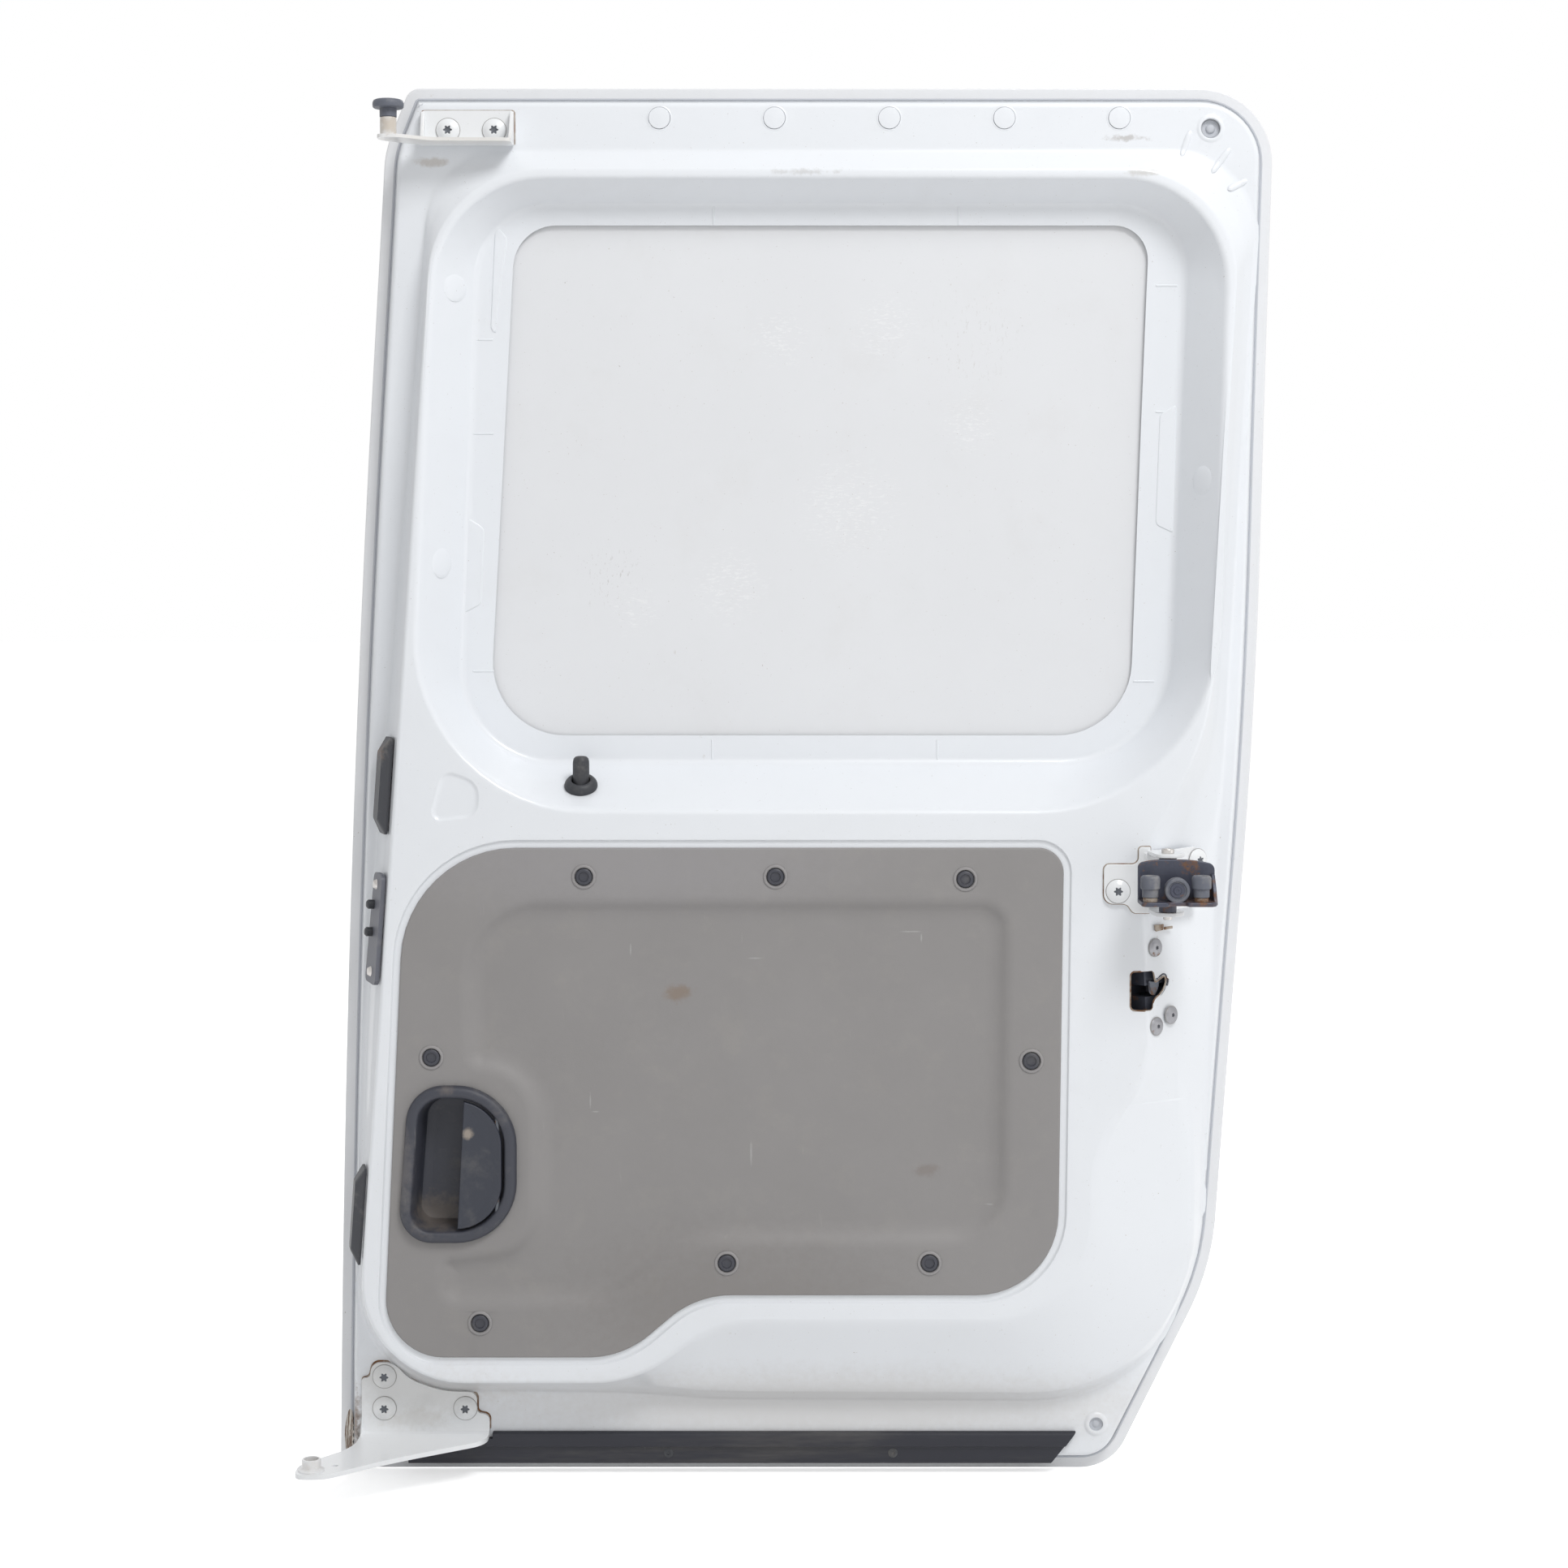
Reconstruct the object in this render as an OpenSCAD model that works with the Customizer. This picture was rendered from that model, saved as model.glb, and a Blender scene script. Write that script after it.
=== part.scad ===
// Sliding side door of a compact panel van, unglazed, seen from the cabin side.
// The door is drawn lying on its outer skin: x runs to the rear of the van, y up the door
// and z is the height above the skin, towards the cabin. in_frame() stands it up.

/* [Door panel] */
// Width of the door over the hems
door_w = 819; // [780:1:880]
// Height of the top hem over the waist datum
top_h = 615; // [590:1:650]
// Depth of the bottom hem under the waist datum
foot_h = 597; // [570:1:630]
// How far the front edge leans back at the top
front_lean = 44; // [30:1:55]
// How far the rear edge comes in from the top to the wheel arch
rear_lean = 48; // [40:1:56]
// Width of the corner cut off for the wheel arch
arch_w = 138; // [120:1:150]
// Height of the corner cut off for the wheel arch
arch_h = 176; // [160:1:190]
// Radius of the skin's crown from top to bottom
crown_r = 8500; // [7500:50:12000]
// Height of the crown's fullest point, under the datum
crown_y = 105; // [80:1:130]
// Thickness of the outer skin
skin_t = 1; // [0.8:0.1:1.2]
// Thickness of the inner panel
panel_t = 1.2; // [1:0.1:1.5]
// Width of the folded hem
hem_w = 9; // [8:0.5:11]
// Height of the seal land over the skin
land_depth = 22; // [19:0.5:24]
// Height of the inner face over the skin
face_depth = 72; // [69:0.5:76]
// How much lower the inner face is at the top
face_fall = 12; // [8:0.5:14]

/* [Window recess] */
// Distance of the cut-out from the front edge at the top
window_front = 157; // [145:1:172]
// Height of the window cut-out
window_h = 447; // [420:1:455]
// Height of the cut-out's lower edge over the datum
window_y = 50; // [46:1:58]
// Distance of the cut-out from the rear edge at the top
window_rear = 108; // [102:1:116]
// Slant of the cut-out's front edge
window_slant = 26; // [15:1:32]
// Width of the glazing flange
flange_w = 28; // [22:1:31]
// Depth of the glazing flange over the skin
flange_depth = 5; // [4:0.5:8]
// Width of the slope round the recess
slope_w = 34; // [28:1:36]

/* [Trim panel] */
// Distance of the trim panel from the door's rear edge
trim_rear = 186; // [180:1:200]
// Height of the trim's lower edge over the door's foot
trim_foot = 113; // [108:1:122]
// Drop of the trim's top edge under the datum
trim_y = 43; // [40:1:52]
// Height of the step in the trim's lower edge
trim_step = 54; // [45:1:60]
// Thickness of the trim sheet
trim_t = 3; // [2:0.5:4]
// Depth of the ledge that the trim lies in
ledge_t = 2.4; // [1.5:0.1:3]
// Gap between the trim's edge and the edge of its ledge
ledge_w = 6; // [4:0.5:8]
// Depth of the dished middle of the trim
dish_depth = 7; // [4:0.5:9]
// Overlap of the trim on the inner panel
trim_lap = 20; // [14:1:24]
// Diameter of a trim clip's cap
clip_d = 14; // [12:0.5:16]

/* [Inside handle] */
// Width of the handle bezel
bezel_w = 99; // [94:1:104]
// Height of the handle bezel
bezel_h = 136; // [128:1:142]
// Distance of the bezel's lower edge from the trim's lower edge
bezel_y = 100; // [94:1:106]
// Height of the bezel over the trim
bezel_t = 7; // [5:0.5:9]
// Depth of the finger cup under the trim
cup_depth = 27; // [22:1:30]
// Width of the bezel's frame
bezel_frame = 11; // [9:0.5:13]
// Width of the lever
lever_w = 38; // [34:1:40]
// Gap round the lever
lever_gap = 1.6; // [1.4:0.1:2.2]
// Diameter of the lever's pin
lever_pin_d = 4; // [3:0.5:5]

/* [Lock knob] */
// Diameter of the lock knob
knob_d = 14.5; // [12:0.5:16]
// Height of the knob over its grommet
knob_h = 27; // [24:1:34]
// Travel of the knob from open to locked
knob_travel = 12; // [8:0.5:14]
// Diameter of the knob's grommet
grommet_d = 29; // [26:0.5:32]

/* [Bolts] */
// Diameter of a flanged bolt head
bolt_head_d = 20.3; // [18:0.1:22]
// Height of a flanged bolt head
bolt_head_h = 5; // [4:0.5:6]
// Diameter of a bolt's thread
bolt_d = 8; // [6:0.5:10]

/* [Lower arm] */
// Thickness of the lower arm's plate
arm_t = 4; // [3:0.5:5]
// Outside radius of the bend between its plate and its tray
arm_bend_r = 8; // [7:0.5:10]
// Reach of the lower arm's tray from the land to the collar
arm_reach = 108; // [95:1:120]
// Outside diameter of the roller collar
collar_d = 16; // [14.5:0.5:18]
// Bore of the roller collar
collar_bore = 12; // [10:0.5:12.5]
// Height of the roller collar
collar_h = 10; // [8:0.5:13]

/* [Upper arm] */
// Width of the upper arm's bolted plate
upper_w = 80; // [72:1:86]
// Thickness of the upper arm's plate
upper_t = 3; // [2.5:0.5:4]
// Reach of the upper arm's shelf from the land to the roller
upper_reach = 46; // [40:1:54]
// Diameter of the upper guide roller
upper_roller_d = 26.5; // [24:0.5:30]
// Height of the upper guide roller's rim
upper_roller_h = 7; // [6:0.5:9]

/* [Rear carriage] */
// Thickness of the rear bracket's plate
bracket_t = 3.5; // [3:0.5:4]
// Diameter of the carriage's pivot pin
pivot_d = 8; // [7:0.5:10]
// Height of the pivot over the inner face
pivot_lift = 27; // [25:1:31]
// Diameter of the load roller
load_d = 21.5; // [20:0.5:23]
// Width of the load roller
load_w = 8; // [7:0.5:9]
// Diameter of a guide roller
guide_d = 16.5; // [15:0.5:18]
// Height of a guide roller
guide_h = 11; // [9:0.5:12]
// Diameter of the roller pins
roller_pin_d = 6; // [5:0.5:7]

/* [Front edge fittings] */
// Length of a guide wedge
wedge_len = 84; // [76:1:90]
// Height of a guide wedge over the wall
wedge_h = 9; // [7:0.5:11]
// Length of the contact plate
contact_len = 96; // [90:1:104]
// Width of the contact plate
contact_w = 36; // [30:1:38]
// Thickness of the contact plate
contact_t = 4; // [3:0.5:5]
// Diameter of a contact plunger
plunger_d = 8; // [6:0.5:9]
// Travel of a contact plunger
plunger_travel = 4; // [3:0.5:5]

/* [Seal, plugs and outside handle] */
// Length of the sill seal
seal_len = 586; // [560:1:600]
// Height of the sill seal
seal_h = 29; // [26:1:31]
// Diameter of a blanking plug in the top band
plug_d = 18.5; // [16:0.5:20]
// Spacing of the blanking plugs
plug_pitch = 99.5; // [90:0.5:104]
// Width of the outside handle
outer_w = 190; // [170:1:210]
// Height of the outside handle's recess
outer_h = 62; // [54:1:70]

/* [Hidden] */

big = 2000;
eps = 0.02;
arc_steps = 5;
rows = 24;
run_on = 0.12;
run_gap = 0.05;
seat_gap = 0.01;

white_paint = [0.91, 0.92, 0.93];
inner_paint = [0.90, 0.91, 0.92];
trim_grey = [0.55, 0.54, 0.53];
handle_grey = [0.24, 0.25, 0.28];
seal_black = [0.12, 0.12, 0.14];
zinc = [0.72, 0.70, 0.66];
carriage_black = [0.24, 0.25, 0.29];
rubber_grey = [0.36, 0.36, 0.40];

// Outline helpers: a corner is [x, y, reach], where reach is how far its rounding runs
// along both sides. Corners go counter-clockwise, and inset moves every side inwards.
function flat(v) = [v.x, v.y];
function unit(v) = v / norm(v);
function left_of(v) = [-v.y, v.x];
function side(c, i) = unit(flat(c[(i + 1) % len(c)]) - flat(c[i % len(c)]));
function turn(u, v) = atan2(u.x * v.y - u.y * v.x, u * v);
function inset(c, d) = [for (i = [0 : len(c) - 1])
    let (u = side(c, i + len(c) - 1), v = side(c, i),
        p = flat(c[i]) + (left_of(u) + left_of(v)) * d / (1 + u * v))
    [p.x, p.y, max(0.3, c[i][2] - d * tan(turn(u, v) / 2))]];
function bow(t) = abs(t) < 1 ? 2 / 3 : 4 / 3 * tan(t / 4) / tan(t / 2);
function curve(a, b, c, d, t) = a * pow(1 - t, 3) + b * 3 * t * pow(1 - t, 2)
    + c * 3 * t * t * (1 - t) + d * pow(t, 3);
function rounded(c, steps = arc_steps) = [for (i = [0 : len(c) - 1])
    let (u = side(c, i + len(c) - 1), v = side(c, i), q = flat(c[i]), r = c[i][2],
        k = bow(turn(u, v)))
    for (s = [0 : steps]) curve(q - u * r, q - u * r * (1 - k), q + v * r * (1 - k),
        q + v * r, s / steps)];
function ring(c, d = 0, steps = arc_steps) = rounded(inset(c, d), steps);
function at(points, level) = [for (p = points) [p.x, p.y, level(p.y)]];
function mix(a, b, t) = a * (1 - t) + b * t;

module loft(rings) {
    n = len(rings[0]);
    m = len(rings);
    polyhedron(points = [for (r = rings) each r],
        faces = concat([[for (i = [0 : n - 1]) i]],
            [for (j = [0 : m - 2], i = [0 : n - 1])
                [j * n + i, (j + 1) * n + i, (j + 1) * n + (i + 1) % n, j * n + (i + 1) % n]],
            [[for (i = [n - 1 : -1 : 0]) (m - 1) * n + i]]), convexity = 6);
}

module slab(low, high) {
    ys = [for (i = [0 : rows]) mix(-foot_h - 13.7, top_h + 11.3, i / rows)];
    rotate([90, 0, 90]) linear_extrude(big, center = true) polygon(concat(
        [for (y = ys) [y, low(y)]], [for (i = [rows : -1 : 0]) [ys[i], high(ys[i])]]));
}

module plate(points, low, high) {
    translate([0, 0, low]) linear_extrude(high - low) polygon(points);
}

// Levels over the skin's fullest line
pad_low = -foot_h + 102;
pad_high = top_h - 65;
ridge_drop = 74;
function crown(y) = pow(y + crown_y, 2) / (2 * crown_r);
function land(y) = land_depth + crown(min(max(y, pad_low), pad_high));
function face(y) = face_depth - face_fall * max(0, y) / (top_h - ridge_drop);
function wall(y, t) = mix(face(y), land(y), t);
base_land = land(pad_low);
top_land = land(pad_high);

// Door edge
front_x = -door_w / 2;
rear_x = door_w / 2;
edge = [[front_x, -foot_h, 8], [rear_x - arch_w, -foot_h, 27],
    [rear_x - rear_lean, -foot_h + arch_h, 45], [rear_x - 10, 68, 150],
    [rear_x, top_h, 66], [front_x + front_lean + 22, top_h, 9],
    [front_x + front_lean, top_h - 54, 14], [front_x, -95, foot_h - 117]];

// Foot, middle and ridge of the wall between the seal land and the inner face
rim_w = 22;
trim_left = front_x + 66;
trim_right = rear_x - trim_rear;
trim_low = -foot_h + trim_foot;
rim_low = trim_low - rim_w;
rim_right = trim_right + 25;
rim_step = rim_low + trim_step - 1;
pocket_y = -238;
foot_line = [[front_x + 17, rim_low - 17, 92], [-150, rim_low - 20, 30],
    [-75, rim_low - 26, 25], [rear_x - 64, rim_low - 28, 148], [rear_x - 58, -300, 50],
    [rear_x - 55, pocket_y, 22], [rear_x - 48, -57, 25], [rear_x - 41, 40, 40],
    [rear_x - 15, top_h - 56, 75], [front_x + front_lean + 42, top_h - 56, 62],
    [front_x + 24, -165, 150]];
middle_line = [[front_x + 19, rim_low - 9, 93], [-149, rim_low - 11, 32],
    [-76, rim_low - 14, 28], [rear_x - 72, rim_low - 16, 140], [rear_x - 70, -299, 48],
    [rear_x - 82, pocket_y, 26], [rear_x - 84, -56, 28], [rear_x - 50, 50, 45],
    [rear_x - 23, top_h - 64, 86], [front_x + front_lean + 45, top_h - 64, 76],
    [front_x + 40, -80, 150]];
ridge_line = [[front_x + 21, rim_low, 95], [-148, rim_low, 35], [-78, rim_step, 35],
    [rim_right, rim_step, 90], [rim_right, -298, 42], [rear_x - 111, pocket_y, 36],
    [rear_x - 120, -55, 30], [rear_x - 60, 60, 50], [rear_x - 32, top_h - ridge_drop, 98],
    [front_x + front_lean + 47, top_h - ridge_drop, 92], [front_x + 57, 10, 150]];

function line_x(c, i, j, y) = mix(c[i].x, c[j].x, (y - c[i].y) / (c[j].y - c[i].y));
function front_foot(y) = y > foot_line[10].y ? line_x(foot_line, 9, 10, y)
    : line_x(foot_line, 10, 0, y);
function front_ridge(y) = y > ridge_line[10].y ? line_x(ridge_line, 9, 10, y)
    : line_x(ridge_line, 10, 0, y);
function rear_foot(y) = line_x(foot_line, 5, 6, y);
function rear_ridge(y) = line_x(ridge_line, 5, 6, y);

// Window cut-out, its glazing flange and the edge of the recess
cut_right = rear_x - window_rear;
cut_left = front_x + window_front;
cut_top = window_y + window_h;
cutout = [[cut_left - window_slant, window_y, 68], [cut_right - 14, window_y, 64],
    [cut_right, cut_top, 31], [cut_left, cut_top, 36]];
flange_top = 18;
flange = [[cutout[0].x - flange_w, window_y - flange_w + 4, 72],
    [cutout[1].x + flange_w + 5, window_y - flange_w + 4, 76],
    [cut_right + flange_w + 5, cut_top + flange_top, 60],
    [cut_left - flange_w - 3, cut_top + flange_top, 64]];
recess = [[flange[0].x - slope_w, flange[0].y - slope_w - 3, 112],
    [flange[1].x + slope_w - 5, flange[1].y - slope_w - 3, 120],
    [flange[2].x + slope_w - 1, top_h - 81, 94], [flange[3].x - slope_w, top_h - 81, 92]];

// Trim outline, its dish and the clip places
trim = [[trim_left - 20, trim_low, 52], [-157, trim_low, 30],
    [-93, trim_low + trim_step, 30], [trim_right - 5, trim_low + trim_step, 70],
    [trim_right, -trim_y, 22], [trim_left, -trim_y, 95]];
bezel_low = trim_low + bezel_y;
bezel_left = trim_left - 3.5;
bezel_right = bezel_left + bezel_w;
dish_in = 44;
dish_run = 6;
dish = [[trim_left + 27, trim_low + dish_in, 20], [-172, trim_low + dish_in, 28],
    [-99, trim_low + trim_step + dish_in, 28],
    [trim_right - 48, trim_low + trim_step + dish_in, 50],
    [trim_right - 46, -trim_y - 45, 26], [trim_left + 46, -trim_y - 45, 70],
    [trim_left + 52, bezel_low + bezel_h + 15, 14],
    [bezel_right + 13, bezel_low + bezel_h + 8, 40], [bezel_right + 13, bezel_low - 4, 34],
    [trim_left + 28, bezel_low - 13, 10]];
clips = [[-190, -trim_y - 25], [-25, -trim_y - 25], [trim_right - 85, -trim_y - 27],
    [trim_left + 22, bezel_low + bezel_h + 24], [trim_right - 28, -227], [-67, trim_low + trim_step + 28],
    [108, trim_low + trim_step + 28], [-280, trim_low + 30]];
trim_face = face_depth - ledge_t + trim_t;
clip_seat = 0.8;

// Inside handle
bezel = [[bezel_left - 4, bezel_low, 30], [bezel_right, bezel_low, 52],
    [bezel_right, bezel_low + bezel_h, 52], [bezel_left + 6, bezel_low + bezel_h, 30]];
bezel_top = trim_face + bezel_t;
cup_floor = face_depth - cup_depth;
lever_t = 4.5;
knuckle_d = 8;
knuckle_len = 44;
lever_x = bezel_right - bezel_frame - lever_gap - knuckle_d / 2;
lever_z = bezel_top - 4;
opening = inset(bezel, bezel_frame);
lever_edge = bezel_right - bezel_frame - lever_gap - lever_w + 1;
// The pin ends in the frame, where its corners are round
pin_hold = 23;
lever_pin_len = bezel_h - 2 * pin_hold;

// Lock knob on the slope under the window
knob_x = front_x + 215;
slope_rise = face(0) - crown(flange[0].y) - flange_depth;
slope_run = flange[0].y - recess[0].y;
slope_tilt = atan2(slope_run, slope_rise);
knob_z = 40;
knob_stem = 44;
knob_y = flange[0].y - (knob_z - crown(flange[0].y) - flange_depth) * slope_run / slope_rise;

// Lower arm
arm_y = -foot_h + 37;
arm_left = front_x + 21.5;
arm_right = front_x + 133.5;
arm_bolts = [[arm_left + 20, arm_y + 49], [arm_left + 20, arm_y + 21],
    [arm_right - 21, arm_y + 21]];
arm_bend = [arm_y - arm_t + arm_bend_r, base_land + arm_bend_r];
collar_x = front_x - 5;
collar_z = base_land + arm_reach;
seat = [collar_x, arm_y - arm_t, collar_z];

// Upper arm
upper_x = front_x + 158.5;
upper_y = top_h - 50;
upper_h = 28;
upper_bolts = [[upper_x - 17, upper_y + 11], [upper_x - 57, upper_y + 11]];
upper_roller_x = upper_x - 102.5;
upper_roller_z = top_land + upper_reach;
boss_h = 15;
hub_h = 7.5;

// Rear carriage
pivot_x = rear_x - 100.5;
pivot_z = face_depth + pivot_lift;
bracket_x = rear_x - 140;
bracket_y = -80;
ear_top = -45;
ear_low = -95;
roller_z = pivot_z + 31;
load_y = -73;
load_x = pivot_x + 3.5;
guide_low = -79;
guide_front_x = pivot_x - 19;
guide_rear_x = pivot_x + 24;
back_z = pivot_z + 11;
tray_y = -86;
bracket_lift = 3.8;

// Latch and front edge fittings
latch_y = -168;
latch_h = 34;
latch_reach = 36;
latch_sink = 6.5;
hook_w = 16;
striker_w = 10;
contact_y = -115;
wedge_seat = 0.6;

// Seal, blanking plugs and outside handle
seal_left = front_x + 62;
seal_low = -foot_h + 8;
plug_y = top_h - 28;
function plug_x(i) = rear_x - 137 + (i - 4) * plug_pitch;
outer_x = front_x + 150;
outer_y = -70;
function outer_rect(d) = inset([[-outer_w / 2, -outer_h / 2, 20], [outer_w / 2, -outer_h / 2, 20],
    [outer_w / 2, outer_h / 2, 20], [-outer_w / 2, outer_h / 2, 20]], d);

// Frame of the wall at height y: the first axis runs up the door, the second from the foot
// to the ridge and the third out of the wall. s is the side, -1 at the front, 1 at the rear.
module on_wall(foot, ridge, s, y, t) {
    a = [foot(y), y, land(y)];
    b = [ridge(y), y, face(y)];
    up = unit([ridge(y + 40) - ridge(y - 40), 80, face(y + 40) - face(y - 40)]);
    rise = unit(b - a);
    out = unit(cross(up, rise)) * s;
    over = cross(out, up) * s;
    p = mix(a, b, t);
    multmatrix([[up.x, over.x, out.x, p.x], [up.y, over.y, out.y, p.y],
        [up.z, over.z, out.z, p.z], [0, 0, 0, 1]]) children();
}

module front_wall(y, t) {
    on_wall(function (y) front_foot(y), function (y) front_ridge(y), -1, y, t) children();
}

module rear_wall(y, t) {
    on_wall(function (y) rear_foot(y), function (y) rear_ridge(y), 1, y, t) children();
}

module in_frame() {
    translate([-seat.x, seat.z, -seat.y]) rotate([90, 0, 0]) children();
}

// A rod that stands on its own axis: h along z, or up the door with up_door()
module up_door(x, y, z) {
    translate([x, y, z]) rotate([-90, 0, 0]) children();
}

module button_bolt(shank) {
    cylinder(h = 1.5, d = bolt_head_d);
    translate([0, 0, 1.5]) cylinder(h = bolt_head_h - 1.5, d1 = bolt_head_d - 1, d2 = 11);
    translate([0, 0, -shank]) cylinder(h = shank + eps, d = bolt_d);
}

module outer_skin() {
    color(white_paint) in_frame() {
        intersection() {
            slab(function (y) crown(y), function (y) crown(y) + skin_t);
            plate(ring(edge), -10, 90);
        }
        difference() {
            intersection() {
                slab(function (y) crown(y) + skin_t, function (y) crown(y) + 2 * skin_t + panel_t);
                plate(ring(edge), -10, 90);
            }
            intersection() {
                slab(function (y) crown(y) - 1, function (y) crown(y) + skin_t + panel_t);
                plate(ring(edge, skin_t), -20, 100);
            }
            plate(ring(edge, hem_w), -20, 100);
        }
    }
}

// Rings of a sloping wall from a to b, run on past both ends so that the slabs cut them clean
function through(a, b) = [[for (p = mix(a, b, -run_on)) [p.x, p.y, -60]], mix(a, b, -run_on)];
function past(a, b) = [mix(a, b, 1 + run_on), [for (p = mix(a, b, 1 + run_on)) [p.x, p.y, 120]]];

// Solid under one face of the inner panel; cut moves that face down and in
module panel_form(cut) {
    low = cut > 0 ? -40 : skin_t + panel_t * 0.4;
    hem_line = at(ring(edge, hem_w + 2 + cut), function (y) crown(y) + skin_t);
    land_edge = at(ring(edge, hem_w + 6 + cut), function (y) land(y));
    foot_ring = at(ring(foot_line, cut), function (y) wall(y, 1));
    middle_ring = at(ring(middle_line, cut), function (y) wall(y, 0.6));
    ridge_ring = at(ring(ridge_line, cut), function (y) wall(y, 0));
    flange_ring = at(ring(flange, -cut), function (y) crown(y) + flange_depth);
    recess_ring = at(ring(recess, -cut), function (y) face(y));
    difference() {
        union() {
            intersection() {
                slab(function (y) crown(y) + low, function (y) land(y) - cut);
                loft(concat(through(hem_line, land_edge), past(hem_line, land_edge)));
            }
            intersection() {
                slab(function (y) crown(y) + low, function (y) face(y) - cut);
                loft(concat(through(foot_ring, middle_ring), [middle_ring],
                    past(middle_ring, ridge_ring)));
            }
        }
        intersection() {
            slab(function (y) crown(y) + flange_depth - cut, function (y) 110);
            loft(concat(through(flange_ring, recess_ring), past(flange_ring, recess_ring)));
        }
        plate(ring(trim, -ledge_w - cut), face_depth - ledge_t - cut, 110);
    }
}

module emboss(x, y, d, h) {
    translate([x, y, land(y)]) hull() {
        translate([0, 0, -panel_t / 2]) cylinder(h = panel_t / 4, d = d, $fn = 28);
        cylinder(h = h, d = d - 2 * h, $fn = 28);
    }
}

module short_rib(x, y, length, angle) {
    translate([x, y, land(y)]) rotate([0, 0, angle]) hull() for (s = [-1, 1])
        translate([s * length / 2, 0, -panel_t / 2]) cylinder(h = panel_t / 2 + 1.6, d1 = 7,
            d2 = 4, $fn = 16);
}

module inner_panel() {
    color(inner_paint) in_frame() difference() {
        union() {
            difference() {
                panel_form(0);
                panel_form(panel_t);
            }
            difference() {
                intersection() {
                    slab(function (y) crown(y) + skin_t, function (y) crown(y) + skin_t + panel_t);
                    plate(ring(edge, skin_t + 0.5), -10, 90);
                }
                plate(ring(edge, hem_w + 4), -20, 100);
            }
            emboss(rear_x - 153, -foot_h + 43, 22, 2);
            emboss(rear_x - 58, top_h - 37, 22, 1.5);
            for (i = [0 : 4]) emboss(plug_x(i), plug_y, plug_d + 6, 0.8);
            for (i = [0 : 2]) short_rib(rear_x - 76 + i * 20, top_h - 62 - i * 14, 18, 52 - 14 * i);
        }
        plate(ring(cutout), -20, 100);
        plate(ring(trim, trim_lap), 30, 100);
        plate(ring(bezel, bezel_frame - 6), 30, 100);
        for (p = clips) translate([p.x, p.y, 60]) cylinder(h = 30, d = clip_d - 5, $fn = 24);
        for (p = arm_bolts) translate([p.x, p.y, 20]) cylinder(h = 30, d = bolt_d + 1, $fn = 24);
        for (p = upper_bolts) translate([p.x, p.y, 30]) cylinder(h = 30, d = bolt_d + 1, $fn = 24);
        up_door(knob_x, knob_y - 60, knob_z) cylinder(h = 90, d = knob_d + 3, $fn = 32);
        for (i = [0 : 4]) translate([plug_x(i), plug_y, 30])
            cylinder(h = 30, d = plug_d - 3, $fn = 28);
        translate([rear_x - 58, top_h - 37, 30]) cylinder(h = 30, d = 15.5, $fn = 28);
        translate([rear_x - 153, -foot_h + 43, 20]) cylinder(h = 30, d = 12, $fn = 28);
        latch_cut();
        for (s = [-1, 1]) plunger_places(s) translate([0, 0, -20])
            cylinder(h = 30, d = plunger_d + 2, $fn = 24);
        bracket_bolt_places() translate([0, 0, -12]) cylinder(h = 20, d = bolt_d + 1, $fn = 24);
    }
}

module latch_cut() {
    rear_wall(latch_y, 1) {
        translate([-latch_h / 2, -latch_reach / 2, -12]) cube([latch_h, latch_reach - 2, 24]);
        translate([-hook_w / 2, 4 - latch_reach, -12]) cube([hook_w, 20, 24]);
    }
}

module outer_handle_cup() {
    color(seal_black) in_frame() translate([outer_x, outer_y, 0]) {
        difference() {
            plate(rounded(outer_rect(0)), -3, crown(outer_y) - 0.3);
            plate(rounded(outer_rect(7)), -4, -1.5);
        }
    }
}

module outer_handle() {
    color(seal_black) in_frame() translate([outer_x, outer_y, 0]) {
        for (s = [-1, 1]) translate([s * (outer_w / 2 - 22), 0, -22]) cylinder(h = 20.5, d = 14);
        translate([0, 0, -30]) rotate([0, 90, 0])
            linear_extrude(outer_w - 20, center = true) polygon(rounded([[-8, -13, 6], [6, -13, 8],
                [6, 13, 8], [-8, 13, 6]]));
    }
}

module trim_form(cut) {
    difference() {
        loft([at(ring(trim, cut > 0 ? -1 : 0), function (y) 50 - cut),
            at(ring(trim, cut > 0 ? -1 : 0), function (y) trim_face - 1.2 - cut),
            at(ring(trim, cut > 0 ? -1 : 1.2), function (y) trim_face - cut)]);
        loft([at(ring(dish, dish_run - cut), function (y) trim_face - dish_depth - cut),
            at(ring(dish, -dish_run / 4 - cut), function (y) trim_face + dish_depth / 4 - cut)]);
        if (cut > 0) plate(ring(dish, -dish_run / 4 - cut - 0.5), trim_face - 0.4, trim_face + 20);
    }
}

module trim_panel() {
    color(trim_grey) in_frame() difference() {
        trim_form(0);
        trim_form(trim_t);
        plate(ring(bezel, bezel_frame - 4), 40, 100);
        for (p = clips) translate([p.x, p.y, trim_face]) {
            translate([0, 0, -15]) cylinder(h = 30, d = clip_d - 5);
            hull() {
                translate([0, 0, -clip_seat]) cylinder(h = 1, d = clip_d + 2, $fn = 32);
                cylinder(h = 1, d = clip_d + 6, $fn = 32);
            }
        }
    }
}

module trim_clips() {
    color(trim_grey) in_frame() for (p = clips) translate([p.x, p.y, trim_face - clip_seat]) {
        cylinder(h = 1, d = clip_d);
        translate([0, 0, 1]) cylinder(h = 1.2, d1 = clip_d, d2 = clip_d - 4);
        translate([0, 0, -12]) cylinder(h = 12, d = clip_d - 6);
    }
}

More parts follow.
